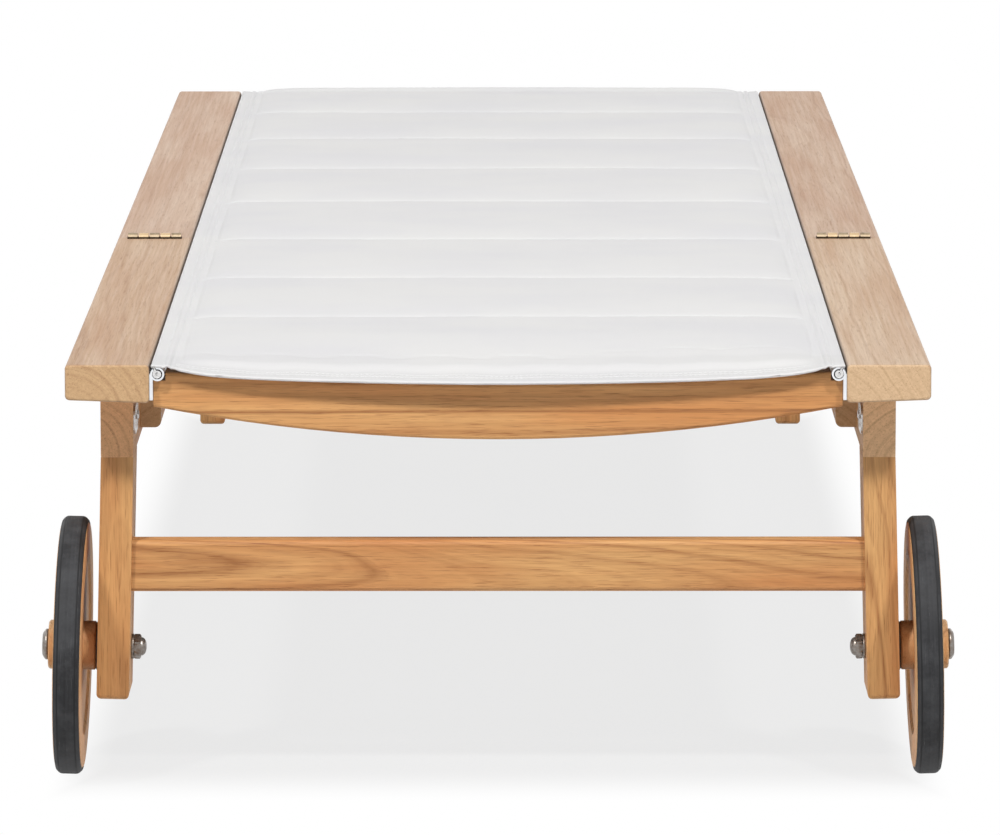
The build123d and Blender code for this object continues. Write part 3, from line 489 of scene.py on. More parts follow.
def aluminium():
    g = Graph("anodised_aluminium")
    draw = g.noise(g.place, (1800, 6, 1800), detail=2)
    dust = g.noise(g.place, scale=60, detail=3)
    colour = g.mix(g.between(dust, 0.4, 0.7, 0.0, 0.5), srgb(238, 240, 243), srgb(214, 217, 221))
    rough = g.between(draw, 0.3, 0.7, 0.3, 0.46)
    return g.finish(Base_Color=colour, Metallic=0.85, Roughness=rough,
                    Normal=g.bump(draw, 0.00003, 0.5))


# Rubber: colours laid over one another, with the share of each
RUB = (0.25, srgb(62, 62, 65))
WEAR = (0.35, srgb(92, 93, 95))
SCUFF = (0.4, srgb(104, 104, 106))
MOULD_LINE = (0.75, srgb(8, 8, 9))
SCUFF_STRETCH = (900, 3.5, 300)


def rubber(name, centre):
    """Solid tyre, dusty and scuffed, with dark moulding lines and paler shoulders."""
    g = Graph(name)
    dx, dy, dz = (g.minus(axis, middle) for axis, middle in zip(g.split(g.place), centre))
    splay = math.copysign(SPLAY, centre[0])
    across = g.plus(g.times(dx, math.cos(splay)), g.times(dz, math.sin(splay)))
    radius = g.math("SQRT", g.plus(g.times(dy, dy), g.times(dz, dz)))
    turn = g.math("ARCTAN2", dz, dy)
    dust = g.noise(g.place, scale=38, detail=5, roughness=0.65)
    grit = g.noise(g.place, scale=900, detail=2, roughness=0.6)
    scuffs = g.noise(g.join(across, turn, radius), SCUFF_STRETCH, detail=3, roughness=0.7)
    scuffs = g.between(scuffs, 0.62, 0.70)
    rub = g.between(g.noise_1d(g.times(across, 420), detail=2), 0.35, 0.65)
    line = g.between(g.absolute(g.minus(g.absolute(across), TYRE_LINE)), *TYRE_LINE_EDGE, 1.0, 0.0)
    wear = g.times(g.between(radius, *TYRE_WORN_RIM), g.between(dust, 0.4, 0.62))
    colour = g.mix(g.between(dust, 0.3, 0.72), srgb(27, 27, 29), srgb(36, 36, 38))
    for place, (share, over) in ((rub, RUB), (wear, WEAR), (scuffs, SCUFF), (line, MOULD_LINE)):
        colour = g.mix(g.times(place, share), colour, over)
    height = g.plus(g.times(grit, 0.4), g.times(scuffs, -0.6))
    return g.finish(Base_Color=colour, Roughness=g.between(dust, 0.35, 0.65, 0.55, 0.8),
                    Normal=g.bump(height, 0.0003, 0.6), Specular_IOR_Level=0.3)


def plastic(name, light, dark, roughness):
    g = Graph(name)
    cloud = g.noise(g.place, scale=90, detail=3)
    grain = g.noise(g.place, scale=1600, detail=1)
    return g.finish(Base_Color=g.mix(g.between(cloud, 0.35, 0.65), light, dark),
                    Roughness=g.between(cloud, 0.3, 0.7, roughness, roughness + 0.15),
                    Normal=g.bump(grain, 0.00005, 0.5))


STEEL = steel("polished_steel", srgb(200, 198, 196), srgb(140, 122, 104), 0.25)
AXLE_STEEL = steel("weathered_steel", srgb(150, 145, 140), srgb(96, 74, 56), 0.8, (0.2, 0.42))
ALUMINIUM = aluminium()
THREAD = thread_material()
NYLON = plastic("natural_nylon", srgb(222, 218, 206), srgb(204, 199, 186), 0.4)
DARK_PLASTIC = plastic("brown_plastic", srgb(74, 54, 42), srgb(56, 40, 32), 0.38)


# Mesh helpers


class Shape:
    """Vertices and faces collected from several parts into one mesh."""

    def __init__(self):
        self.points = []
        self.faces = []

    def add(self, points, faces, matrix=None):
        start = len(self.points)
        if matrix is not None:
            points = [matrix @ Vector(p) for p in points]
        self.points += [tuple(p) for p in points]
        self.faces += [tuple(start + i for i in face) for face in faces]

    def piece(self, name, material, sharp=35):
        mesh = bpy.data.meshes.new(name)
        mesh.from_pydata(self.points, [], self.faces)
        mesh.validate()
        mesh.shade_smooth()
        mesh.set_sharp_from_angle(angle=math.radians(sharp))
        mesh.materials.append(material)
        made = bpy.data.objects.new(name, mesh)
        bpy.context.scene.collection.objects.link(made)
        return made


ARC_STEPS = 4
ARC_CUT = 0.45
ON_AXIS = 1e-7


def rounded(profile, radius):
    """Replace the inner corners of an open (along, radius) profile by small arcs."""
    points = [profile[0]]
    for before, corner, after in zip(profile, profile[1:], profile[2:]):
        corner = Vector(corner)
        to_before, to_after = Vector(before) - corner, Vector(after) - corner
        cut = min(radius, to_before.length * ARC_CUT, to_after.length * ARC_CUT)
        start = corner + to_before.normalized() * cut
        end = corner + to_after.normalized() * cut
        for i in range(ARC_STEPS + 1):
            t = i / ARC_STEPS
            points.append(tuple(start * (1 - t) ** 2 + corner * 2 * t * (1 - t) + end * t * t))
    points.append(profile[-1])
    return points


def lathe(profile, segments=48, shape=None):
    """Points and faces turned about local X from (along, radius) pairs; shape trims a radius."""
    points, faces, rings = [], [], []
    for step, (along, radius) in enumerate(profile):
        if radius < ON_AXIS:
            rings.append([len(points)])
            points.append((along, 0.0, 0.0))
            continue
        ring = []
        for i in range(segments):
            angle = 2 * math.pi * i / segments
            reach = radius if shape is None else shape(step, angle, radius)
            ring.append(len(points))
            points.append((along, reach * math.cos(angle), reach * math.sin(angle)))
        rings.append(ring)
    for low, high in zip(rings, rings[1:]):
        for i in range(segments):
            j = (i + 1) % segments
            if len(low) == 1:
                faces.append((low[0], high[j], high[i]))
            elif len(high) == 1:
                faces.append((low[i], low[j], high[0]))
            else:
                faces.append((low[i], low[j], high[j], high[i]))
    return points, faces


def hexagon(flats, angle):
    """Distance from the centre of a hexagon to its side at an angle."""
    turned = (angle + math.pi / 6) % (math.pi / 3) - math.pi / 6
    return flats / 2 / math.cos(turned)


def along_axis(place, direction):
    """Matrix that puts local X along a direction."""
    turn = Vector((1, 0, 0)).rotation_difference(Vector(direction).normalized())
    return Matrix.Translation(Vector(place)) @ turn.to_matrix().to_4x4()


def islands(node):
    """Boxes of the separate solids in a CAD node, sorted by place."""
    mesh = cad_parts[node].data
    keys, owner = {}, []
    for vertex in mesh.vertices:
        key = tuple(round(c, 6) for c in vertex.co)
        owner.append(keys.setdefault(key, len(keys)))
    parent = list(range(len(keys)))

    def root(i):
        while parent[i] != i:
            parent[i] = parent[parent[i]]
            i = parent[i]
        return i

    for edge in mesh.edges:
        a, b = (root(owner[i]) for i in edge.vertices)
        parent[a] = b
    groups = {}
    for key, i in keys.items():
        groups.setdefault(root(i), []).append(key)
    boxes = [(Vector(map(min, *g)), Vector(map(max, *g))) for g in groups.values()]
    return sorted(boxes, key=lambda box: tuple(round(c, 4) for c in box[0]))


# Places worked out from the frame

rail_low, rail_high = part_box("seat_rail_right")
back_low, back_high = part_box("back_rail_right")
RAIL_TOP = rail_high.z
RAIL_INNER = rail_low.x
HEAD_Y = back_low.y
FOOT_Y = rail_high.y
HINGE_Y = (back_high.y + rail_low.y) / 2
FABRIC_HALF = RAIL_INNER - RAIL_GAP
SEAMS = [HINGE_Y + PANEL_PITCH * (i - 2) + drift for i, drift in enumerate(SEAM_DRIFTS)]
FREE_HEAD = HEAD_Y + END_SET_IN
FREE_FOOT = FOOT_Y - END_SET_IN
FABRIC = mesh_fabric()
# Painted shade in the hinge grooves reaches this far above the rail tops
GROOVE_SHADE_TOP = RAIL_TOP + HINGE_SHADE_RISE
BRIGHT_BRASS = steel("rubbed_hinge_brass", srgb(218, 190, 152), srgb(130, 102, 72), 0.35,
                     (0.16, 0.30), GROOVE_SHADE_TOP)
DULL_BRASS = steel("dull_hinge_brass", srgb(172, 154, 128), srgb(96, 76, 56), 0.6,
                   (0.26, 0.42), GROOVE_SHADE_TOP)
PIN_STEEL = steel("dark_hinge_pin", srgb(70, 56, 44), srgb(40, 30, 22), 0.6, (0.3, 0.5))


# Padded sling


def wander(x, y, height, seed, pitch_x, pitch_y):
    """Smooth uneven relief of about the given height, up and down."""
    flat_x, flat_y = np.broadcast_arrays(x, y)
    values = [noise.noise((a / pitch_x, b / pitch_y, seed))
              for a, b in zip(flat_x.ravel(), flat_y.ravel())]
    return height * np.array(values).reshape(flat_x.shape)


def hill(distance, width):
    """Bell shape, 1 in the middle."""
    return np.exp(-((distance / width) ** 2))


def seam_distance(y):
    return np.min([np.abs(y - seam) for seam in SEAMS], axis=0)


def placed_y(x, y):
    """Where a point of the flat cloth lies: seam ends are drawn to the head, free ends bow out."""
    inboard = np.clip((FABRIC_HALF - HEM_WIDTH - np.abs(x)) / SEAM_BEND_REACH, 0, 1)
    bend = SEAM_BEND * (1 - inboard) ** 2 * smooth(1 - seam_distance(y) / SEAM_PULL_REACH)
    at_head = smooth(1 - (y - FREE_HEAD) / END_BOW_REACH)
    at_foot = smooth(1 - (FREE_FOOT - y) / END_BOW_REACH)
    bow = END_BOW * (1 - (x / FABRIC_HALF) ** 2) ** 2 * (at_foot - at_head)
    return y - bend + bow


def panel_fullness(y):
    """How full the padding is: quickly rising past each seam, then slowly falling to the next."""
    edges = np.array([FREE_HEAD, *SEAMS, FREE_FOOT])
    panel = np.clip(np.searchsorted(edges, y, side="right") - 1, 0, len(edges) - 2)
    past = y - edges[panel]
    share = np.clip(past / (edges[panel + 1] - edges[panel]), 0, 1)
    return (1 - np.exp(-past / SEAM_SHOULDER)) * (1 - share**PANEL_FALL)


def groove(distance):
    """Narrow dip under a row of stitches."""
    return STITCH_GROOVE * hill(distance, STITCH_GROOVE_WIDTH)


def fold_reach(x):
    """Distance of the tension fold from the head end."""
    inboard = FABRIC_HALF - HEM_WIDTH - np.abs(x)
    share = END_FOLD_AT_HEM + (1 - END_FOLD_AT_HEM) * smooth(inboard / END_FOLD_HEM_REACH)
    wide = END_FOLD_WIDE * smooth((x - END_FOLD_WIDE_FROM) / END_FOLD_WIDE_OVER)
    return END_FOLD * share + wide + END_FOLD_WAVE * np.sin(2 * math.pi * x / END_WAVE_PITCH)


def end_sag(x, distance):
    """How far the head end hangs below the rails."""
    half = FABRIC_HALF - END_SAG_START
    inboard = np.clip((half - np.abs(x)) / half, 0, 1)
    quick = 1 - np.exp(-inboard / END_SAG_QUICK_REACH)
    spread = END_SAG_QUICK * quick + (1 - END_SAG_QUICK) * (1 - (1 - inboard) ** END_SAG_ROUND)
    fold = fold_reach(x)
    left = 2 * np.clip(1 - distance / fold, 0, 1)
    wave = END_WAVE * np.sin(2 * math.pi * x / END_WAVE_PITCH + END_WAVE_PHASE)
    wave = wave * smooth(left) * smooth(2 - left)
    crease = END_CREASE * hill(distance - fold, END_CREASE_WIDE)
    hang = END_SAG * np.clip(1 - distance / END_SAG_REACH, 0, 1) ** END_SAG_POWER
    return (hang + wave + crease) * spread


def sling_height(x, y):
    """Height of the sling's upper face and its thickness at places on the flat cloth."""
    edge = FABRIC_HALF - np.abs(x)
    inside = edge - HEM_WIDTH
    to_head, to_foot = y - FREE_HEAD, FREE_FOOT - y
    end = np.minimum(to_head, to_foot)
    pad = smooth(inside / PAD_EDGE) * smooth((end - END_HEM - END_PAD_START) / END_PAD_EDGE)
    crown = 1 - np.exp(-np.clip(inside, 0, None) / PAD_SOFTNESS)
    near = seam_distance(y)
    fullness = panel_fullness(y)
    rise = SEAM_RISE + (PAD_RISE - SEAM_RISE) * fullness
    height = RAIL_TOP - HEM_TOP_DROP + pad * crown * rise
    roll = np.clip(1 - np.abs(edge / HEM_ROLL - 0.5) * 2, 0, 1)
    height += HEM_ROLL_RISE * np.sqrt(roll)
    for row in SIDE_STITCH_ROWS:
        height -= groove(edge - row)
    height += HEM_RIDGE * hill(edge - sum(SIDE_STITCH_ROWS) / 2, HEM_RIDGE_WIDE)
    hem = 1 - smooth((inside + HEM_EDGE / 2) / HEM_EDGE)
    height -= hem * HEM_NICK * hill(near, HEM_NICK_WIDE) * smooth(edge / HEM_NICK_START)
    for row in END_STITCH_ROWS:
        height -= groove(end - row) * (1 - hem)
    puckers = wander(x, y, *PUCKERS) * np.exp(-near / PUCKER_REACH)
    corner = np.exp(-np.clip(inside, 0, None) / CORNER_REACH) * np.exp(-near / CORNER_SEAM_REACH)
    height += pad * (puckers + corner * wander(x, y, *CORNER_CREASES))
    height -= pad * SEAM_CREASE * np.exp(-near / SEAM_CREASE_REACH)
    height += pad * wander(x, y, *PAD_LUMPS) + (1 - pad) * wander(x, y, *HEM_LUMPS)
    lift = FOOT_LIFT * crown * (1 - pad) * smooth(inside / PAD_EDGE)
    height += lift * smooth(1 - to_foot / FOOT_LIFT_REACH) - end_sag(x, to_head)
    end_hem = (1 - hem) * (1 - smooth((end - END_HEM) / END_HEM_EDGE))
    thick = HEM_THICK + (END_THICK - HEM_THICK) * end_hem
    full = SEAM_THICK - HEM_THICK + (PAD_THICK - SEAM_THICK) * fullness * crown
    return height, thick + pad * full


def across_places():
    """Sling columns, close together over the hems and wider in the middle."""
    edge = [*EDGE_COLUMNS, *np.arange(*HEM_COLUMNS), *np.arange(*PAD_EDGE_COLUMNS)]
    edge += list(np.linspace(MIDDLE_START, FABRIC_HALF, MIDDLE_COLUMNS))
    right = [FABRIC_HALF - e for e in edge]
    return np.array(right + [-x for x in reversed(right[:-1])])


def along_places():
    """Sling rows, close together at the seams and the free ends."""
    rows = set(np.arange(FREE_HEAD, FREE_FOOT, ROW_PITCH))
    for seam in SEAMS:
        rows |= {seam + side * offset for offset in SEAM_ROWS for side in (-1, 1)}
    for step in [*np.arange(*END_ROWS), *np.arange(*END_PAD_ROWS)]:
        rows |= {FREE_HEAD + step, FREE_FOOT - step}
    kept = []
    for row in sorted(rows):
        if not kept or row - kept[-1] > LEAST_ROW:
            kept.append(row)
    kept[-1] = FREE_FOOT
    return np.array(kept)


def build_sling():
    """One closed padded sheet: an upper and a lower face with rounded edges."""
    x, y = across_places(), along_places()
    height, thick = sling_height(x[None, :], y[:, None])
    lies = placed_y(x[None, :], y[:, None])
    rows, columns = height.shape
    shape = Shape()

    def grid(z):
        """Add a sheet of points."""
        start = len(shape.points)
        for r in range(rows):
            for c in range(columns):
                shape.points.append((x[c], lies[r, c], z[r, c]))
        return lambda r, c: start + r * columns + c

    top = grid(height)
    low = grid(height - thick)
    for r in range(rows - 1):
        for c in range(columns - 1):
            shape.faces += [(top(r, c), top(r, c + 1), top(r + 1, c + 1), top(r + 1, c)),
                            (low(r, c), low(r + 1, c), low(r + 1, c + 1), low(r, c + 1))]
    border = [(0, c) for c in range(columns)] + [(r, columns - 1) for r in range(1, rows)]
    border += [(rows - 1, c) for c in range(columns - 2, -1, -1)]
    border += [(r, 0) for r in range(rows - 2, 0, -1)]
    strips = []
    for share in RIM_SHARES:
        strip = []
        for r, c in border:
            out = thick[r, c] * RIM_PUSH * math.sin(math.pi * share)
            side = 1 if c == 0 else -1 if c == columns - 1 else 0
            end = -1 if r == 0 else 1 if r == rows - 1 else 0
            strip.append(len(shape.points))
            shape.points.append((x[c] + side * min(out, RIM_SIDE_PUSH), lies[r, c] + end * out,
                                 height[r, c] - thick[r, c] * share))
        strips.append(strip)
    loops = [[top(r, c) for r, c in border], *strips, [low(r, c) for r, c in border]]
    for upper, lower in zip(loops, loops[1:]):
        for i in range(len(border)):
            j = (i + 1) % len(border)
            shape.faces.append((upper[i], lower[i], lower[j], upper[j]))
    return shape.piece("padded_sling", FABRIC, sharp=80)


def stitch(shape, start, end):
    """One stitch: a short thread that dips into the cloth at both ends."""
    start, end = Vector(start), Vector(end)
    forward = (end - start).normalized()
    side = forward.cross(Vector((0, 0, 1))).normalized() * STITCH_RADIUS
    up = side.cross(forward).normalized() * STITCH_RADIUS
    sides, points = STITCH_SIDES, []
    lift = STITCH_RADIUS * STITCH_LIFT
    for share, swell in STITCH_SWELLS:
        middle = start.lerp(end, share)
        middle.z += lift if 0 < share < 1 else -lift * STITCH_DIP
        for k in range(sides):
            angle = 2 * math.pi * k / sides
            points.append(middle + (side * math.cos(angle) + up * math.sin(angle)) * swell)
    rings = len(STITCH_SWELLS)
    faces = [(sides * r + i, sides * r + (i + 1) % sides, sides * (r + 1) + (i + 1) % sides,
              sides * (r + 1) + i) for r in range(rings - 1) for i in range(sides)]
    faces += [tuple(range(sides - 1, -1, -1)), tuple(range(sides * (rings - 1), sides * rings))]
    shape.add(points, faces)


def stitch_row(shape, xs, ys):
    """Stitches along a path over the sling, given by arrays of x and y a pitch apart."""
    half = STITCH_LENGTH / 2
    dx, dy = np.gradient(xs), np.gradient(ys)
    size = np.hypot(dx, dy)
    dx, dy = dx / size * half, dy / size * half
    tips = []
    for way in (-1, 1):
        x, y = xs + way * dx, ys + way * dy
        tips.append(list(zip(x, placed_y(x, y), sling_height(x, y)[0])))
    for start, end in zip(*tips):
        stitch(shape, start, end)


def build_stitching():
    """Rows along the side hems, over the cross seams and along both free ends."""
    shape = Shape()
    along = np.arange(FREE_HEAD + STITCH_PITCH, FREE_FOOT - STITCH_PITCH, STITCH_PITCH)
    for row in SIDE_STITCH_ROWS:
        for side in (-1, 1):
            stitch_row(shape, np.full(along.shape, side * (FABRIC_HALF - row)), along)
    reach = FABRIC_HALF - HEM_WIDTH
    across = np.arange(-reach, reach, STITCH_PITCH)
    for seam in SEAMS:
        stitch_row(shape, across, np.full(across.shape, seam))
    for row in END_STITCH_ROWS:
        for place in (FREE_HEAD + row, FREE_FOOT - row):
            stitch_row(shape, across, np.full(across.shape, place))
    return shape.piece("sling_stitching", THREAD)


def ring_middle():
    """Middle of the right track ring, across and up."""
    low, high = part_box("seat_sling_splines")
    return high.x - (high.z - low.z) / 2, (high.z + low.z) / 2


def roll_path():
    """Path of the rolled cloth across the ring, from its rod through the slot to the hem."""
    path = []
    for i in range(ROLL_STEPS + 1):
        share = i / ROLL_STEPS
        angle = SLOT_ANGLE - 2 * math.pi * ROLL_TURNS * (1 - share)
        radius = ROLL_INNER + (ROLL_OUTER - ROLL_INNER) * share
        path.append(Vector((radius * math.cos(angle), radius * math.sin(angle))))
    slot = Vector((math.cos(SLOT_ANGLE), math.sin(SLOT_ANGLE)))
    hem = Vector((FABRIC_HALF - ring_middle()[0], RING_DROP - HEM_TOP_DROP - HEM_THICK / 2))
    path += [slot * place for place in SLOT_PLACES]
    turn = Vector((hem.x - HEM_TURN_IN, slot.y * HEM_TURN_REACH))
    near_slot, near_hem = HEM_TURN_SHARES
    path += [path[-1].lerp(turn, near_slot), turn.lerp(hem, near_hem), hem]
    return path


def build_roll(name, node):
    """Cloth rolled round its rod on both sides, over the length of one track."""
    low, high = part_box(node)
    ring_x, ring_z = ring_middle()
    path = roll_path()
    left, right = [], []
    for i, point in enumerate(path):
        before, after = path[max(i - 1, 0)], path[min(i + 1, len(path) - 1)]
        tangent = (after - before).normalized()
        normal = Vector((-tangent.y, tangent.x)) * ROLL_SHEET / 2
        left.append(point + normal)
        right.append(point - normal)
    shape = Shape()
    count = len(path)
    last, far = count - 1, 2 * count
    for side in (1, -1):
        points = [(side * (ring_x + p.x), y, ring_z + p.y)
                  for y in (low.y, high.y) for p in left + right]
        faces = []
        for i in range(count - 1):
            a, b, c, d = i, i + 1, count + i + 1, count + i
            faces += [(a, b, far + b, far + a), (d, far + d, far + c, c), (a, d, c, b),
                      (far + a, far + b, far + c, far + d)]
        faces += [(0, far, far + count, count),
                  (last, count + last, far + count + last, far + last)]
        if side < 0:
            faces = [tuple(reversed(face)) for face in faces]
        shape.add(points, faces)
        length = high.y - low.y
        rod = lathe([(0, 0), (0, ROLL_ROD), (length, ROLL_ROD), (length, 0)], ROLL_ROD_SIDES)
        shape.add(*rod, along_axis((side * ring_x, low.y, ring_z), (0, 1, 0)))
    return shape.piece(name, FABRIC)


sling = build_sling()
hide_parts("back_sling", "seat_sling")
stitching = build_stitching()
for piece in (sling, stitching):
    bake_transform(piece)
for name, node, body in (("back_hem_rolls", "back_sling_splines", "backrest"),
                         ("seat_hem_rolls", "seat_sling_splines", "base_frame")):
    roll = build_roll(name, node)
    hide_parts(node)
    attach(roll, body)


# Fasteners and wheels


# Screws, as shares of the head
SOCKET_FLATS = 0.81
SOCKET_DEPTH = 0.6
CROWN_FLAT = 0.55
HEAD_RIM = 0.1
CROWN_STEPS = 5
SCREW_SIDES = 24


def socket_screw(head_radius, head_thick, shank_radius, length):
    """Domed screw along local X with a hexagonal socket; x=0 is under the head, the tip at +X."""
    flats = head_radius * SOCKET_FLATS
    floor = head_thick * (SOCKET_DEPTH - 1)
    outline = [(floor, 0), (floor, flats / 2), (-head_thick, flats / 2)]
    for k in range(CROWN_STEPS):
        angle = math.pi / 2 * k / CROWN_STEPS
        outline.append((-head_thick * math.cos(angle),
                        head_radius * (CROWN_FLAT + (1 - CROWN_FLAT) * math.sin(angle))))
    outline += [(-head_thick * HEAD_RIM, head_radius), (0, head_radius), (0, shank_radius)]
    outline += [(length - shank_radius, shank_radius), (length, 0)]

    def socket(step, angle, radius):
        return hexagon(flats, angle) if step in (1, 2) else radius

    return lathe(outline, SCREW_SIDES, socket)


def screw_set(name, node, body, head_radius, head_thick):
    """Domed screws, pointing outward, in the places of a CAD node's plain ones."""
    shape = Shape()
    for low, high in islands(node):
        middle = (low + high) / 2
        aim = Vector((math.copysign(1, middle.x), 0, 0))
        length = (high - low).x
        seat = middle - aim * (length / 2 - head_thick)
        screw = socket_screw(head_radius, head_thick, head_radius / 2, length - head_thick)
        shape.add(*screw, along_axis(seat, aim))
    made = shape.piece(name, STEEL, sharp=30)
    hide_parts(node)
    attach(made, body)


# Name, CAD node, body, and the head's radius and thickness
SCREW_SETS = (
    ("back_track_screw_set", "back_track_screws", "backrest", 0.0040, 0.0022),
    ("seat_track_screw_set", "seat_track_screws", "base_frame", 0.0040, 0.0022),
    ("plate_screw_set", "beam_plate_screws", "base_frame", 0.0036, 0.0012),
    ("rack_screw_set", "rack_screws", "base_frame", 0.0045, 0.0025),
)
for screws in SCREW_SETS:
    screw_set(*screws)


def wheel_frames():
    """Matrix of each wheel's middle, local X pointing out along its splayed axle."""
    found = {}
    for side, name in ((1, "right"), (-1, "left")):
        low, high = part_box("tyre_" + name)
        aim = Vector((side * math.cos(SPLAY), 0, math.sin(SPLAY)))
        found[name] = along_axis((low + high) / 2, aim)
    return found


WHEELS = wheel_frames()
tyre_low, tyre_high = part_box("tyre_right")
WHEEL_RADIUS = (tyre_high.y - tyre_low.y) / 2


def tyre_profile():
    """Closed outline of the tyre with soft shoulders."""
    half, seat = TYRE_WIDTH / 2, WHEEL_RADIUS - TYRE_WALL
    shoulder = WHEEL_RADIUS - TYRE_SHOULDER
    tread = half - TYRE_SHOULDER
    corners = [(-half, seat), (-half, shoulder), (-tread, WHEEL_RADIUS), (tread, WHEEL_RADIUS),
               (half, shoulder), (half, seat)]
    return rounded(corners, TYRE_ARC) + [corners[0]]


for name, matrix in WHEELS.items():
    shape = Shape()
    shape.add(*lathe(tyre_profile(), TYRE_SIDES), matrix)
    tyre = shape.piece("worn_tyre_" + name, rubber("rubber_" + name, matrix.translation), sharp=50)
    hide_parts("tyre_" + name)
    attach(tyre, "wheel_" + name)


def build_axle_bolts():
    """Bolt with a low domed head outside the wheel."""
    shape = Shape()
    end = LEG_INNER_FACE - WASHER_THICK - NUT_HEX
    head = AXLE_HEAD_START
    corners = [(end, 0), (end, AXLE_RADIUS), (head, AXLE_RADIUS), (head, AXLE_HEAD_RADIUS)]
    corners += [(head + AXLE_HEAD_THICK * up, AXLE_HEAD_RADIUS * out) for up, out in AXLE_HEAD_DOME]
    for matrix in WHEELS.values():
        shape.add(*lathe(rounded(corners, AXLE_HEAD_ARC), AXLE_SIDES), matrix)
    return shape.piece("axle_bolt_set", AXLE_STEEL)


def build_cap_nuts():
    """Chamfered hexagonal nut with a domed cap, seen from inside the leg."""
    base = -LEG_INNER_FACE + WASHER_THICK
    corner = NUT_FLATS / 2 / math.cos(math.pi / 6)
    cone = NUT_FLATS / 2 * NUT_CONE
    outline = [(0, AXLE_RADIUS), (0, cone), (NUT_CHAMFER_LOW, corner),
               (NUT_HEX - NUT_CHAMFER_HIGH, corner), (NUT_HEX, cone * NUT_CONE_TOP)]
    rise = NUT_LENGTH - NUT_HEX
    for k in range(NUT_DOME_STEPS):
        angle = math.pi / 2 * k / NUT_DOME_STEPS
        outline.append((NUT_HEX + rise * math.sin(angle),
                        NUT_DOME_RADIUS * math.cos(angle) ** NUT_DOME_POWER))
    outline.append((NUT_LENGTH, 0))
    outline = [(-base - along, radius) for along, radius in outline]

    def trim(step, angle, radius):
        return min(radius, hexagon(NUT_FLATS, angle)) if 1 <= step <= 4 else radius

    shape = Shape()
    for matrix in WHEELS.values():
        points, faces = lathe(outline, NUT_SIDES, trim)
        shape.add(points, [tuple(reversed(face)) for face in faces], matrix)
    return shape.piece("cap_nut_set", AXLE_STEEL, sharp=25)


def build_washers():
    shape = Shape()
    inner, outer = LEG_INNER_FACE - WASHER_THICK, LEG_INNER_FACE
    corners = [(inner, AXLE_RADIUS), (inner, WASHER_RADIUS), (outer, WASHER_RADIUS),
               (outer, AXLE_RADIUS)]
    outline = rounded(corners, WASHER_ARC) + [corners[0]]
    for matrix in WHEELS.values():
        shape.add(*lathe(outline), matrix)
    return shape.piece("axle_washer_set", AXLE_STEEL)


for made, node in ((build_axle_bolts(), "axle_bolts"), (build_cap_nuts(), "axle_cap_nuts"),
                   (build_washers(), "axle_washers")):
    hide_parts(node)
    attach(made, "base_frame")


# Finishes of the CAD nodes


def set_material(node, material):
    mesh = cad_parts[node].data
    mesh.materials.clear()
    mesh.materials.append(material)


# Grain axis of each wooden piece, and its pith line as shares of the piece's size from its middle
ALONG_X, ALONG_Y, ALONG_Z = 0, 1, 2
WOOD = {
    "back_rail_left": (ALONG_Y, (-0.62, -1.3), TEAK_TOP),
    "back_rail_right": (ALONG_Y, (-1.25, -1.6), TEAK_TOP_PALE),
    "seat_rail_left": (ALONG_Y, (0.5, -2.1), TEAK_TOP_COOL),
    "seat_rail_right": (ALONG_Y, (-0.4, -1.8), TEAK_TOP_MILD),
    "side_beam_left": (ALONG_Y, (-1.6, -0.6), TEAK_BODY),
    "side_beam_right": (ALONG_Y, (1.4, -0.8), TEAK_BODY),
    "head_leg_left": (ALONG_Z, (0.3, -0.9), TEAK_BODY),
    "head_leg_right": (ALONG_Z, (-0.4, -0.8), TEAK_BODY),
    "foot_leg_left": (ALONG_Z, (0.9, -1.2), TEAK_BODY),
    "foot_leg_right": (ALONG_Z, (-1.3, -1.0), TEAK_BODY),
    "head_stretcher": (ALONG_X, (-1.4, 0.1), TEAK_BODY),
    "foot_stretcher": (ALONG_X, (-1.8, 1.2), TEAK_BODY),
    "head_bow_rail": (ALONG_X, (2.6, -0.9), TEAK_BOW),
    "back_hinge_bow_rail": (ALONG_X, (-1.7, 1.1), TEAK_BODY),
    "seat_hinge_bow_rail": (ALONG_X, (1.9, 1.3), TEAK_BODY),
    "seat_middle_bow_rail": (ALONG_X, (-2.1, -1.2), TEAK_BODY),
    "foot_bow_rail": (ALONG_X, (-2.3, -0.8), TEAK_BODY),
    "prop_arm_left": (ALONG_Y, (1.6, 1.1), TEAK_BODY),
    "prop_arm_right": (ALONG_Y, (-1.4, 1.5), TEAK_BODY),
    "prop_rack_left": (ALONG_Y, (1.8, -1.4), TEAK_BODY),
    "prop_rack_right": (ALONG_Y, (-1.7, -1.6), TEAK_BODY),
    "wheel_disc_left": (ALONG_Z, (1.5, 0.3), TEAK_DISC),
    "wheel_disc_right": (ALONG_Z, (-1.5, 0.4), TEAK_DISC),
    "rail_dowels": (ALONG_Z, (0.2, 0.3), TEAK_BODY),
    "back_bow_dowels": (ALONG_X, (0.3, 0.2), TEAK_BODY),
    "seat_bow_dowels": (ALONG_X, (0.2, 0.4), TEAK_BODY),
}

# Tones of the ends that show at the head; the other ends have TEAK_END. The beams' end tones are
# painted light, lightened against the shadow that the rail ends cast on them
END_TONES = {
    "back_rail_left": TEAK_GOLD_END,
    "back_rail_right": TEAK_PALE_END,
    "side_beam_left": TEAK_RED_END,
    "side_beam_right": TEAK_PALE_RED_END,
}

# Pieces sawn so that the rings run out in long arches
ARCHED = {
    "head_stretcher": dict(slope=0.050, figure=0.66),
    "head_leg_left": dict(slope=0.045),
    "head_leg_right": dict(slope=0.045),
}

# Rails, sawn so that the rings run nearly straight, with painted shade beside the sling
RAIL_CUT = dict(slope=0.006, figure=0.36, gap_shade_from=RAIL_INNER)
FIRST_SEED, SEED_STEP = 1.7, 2.3


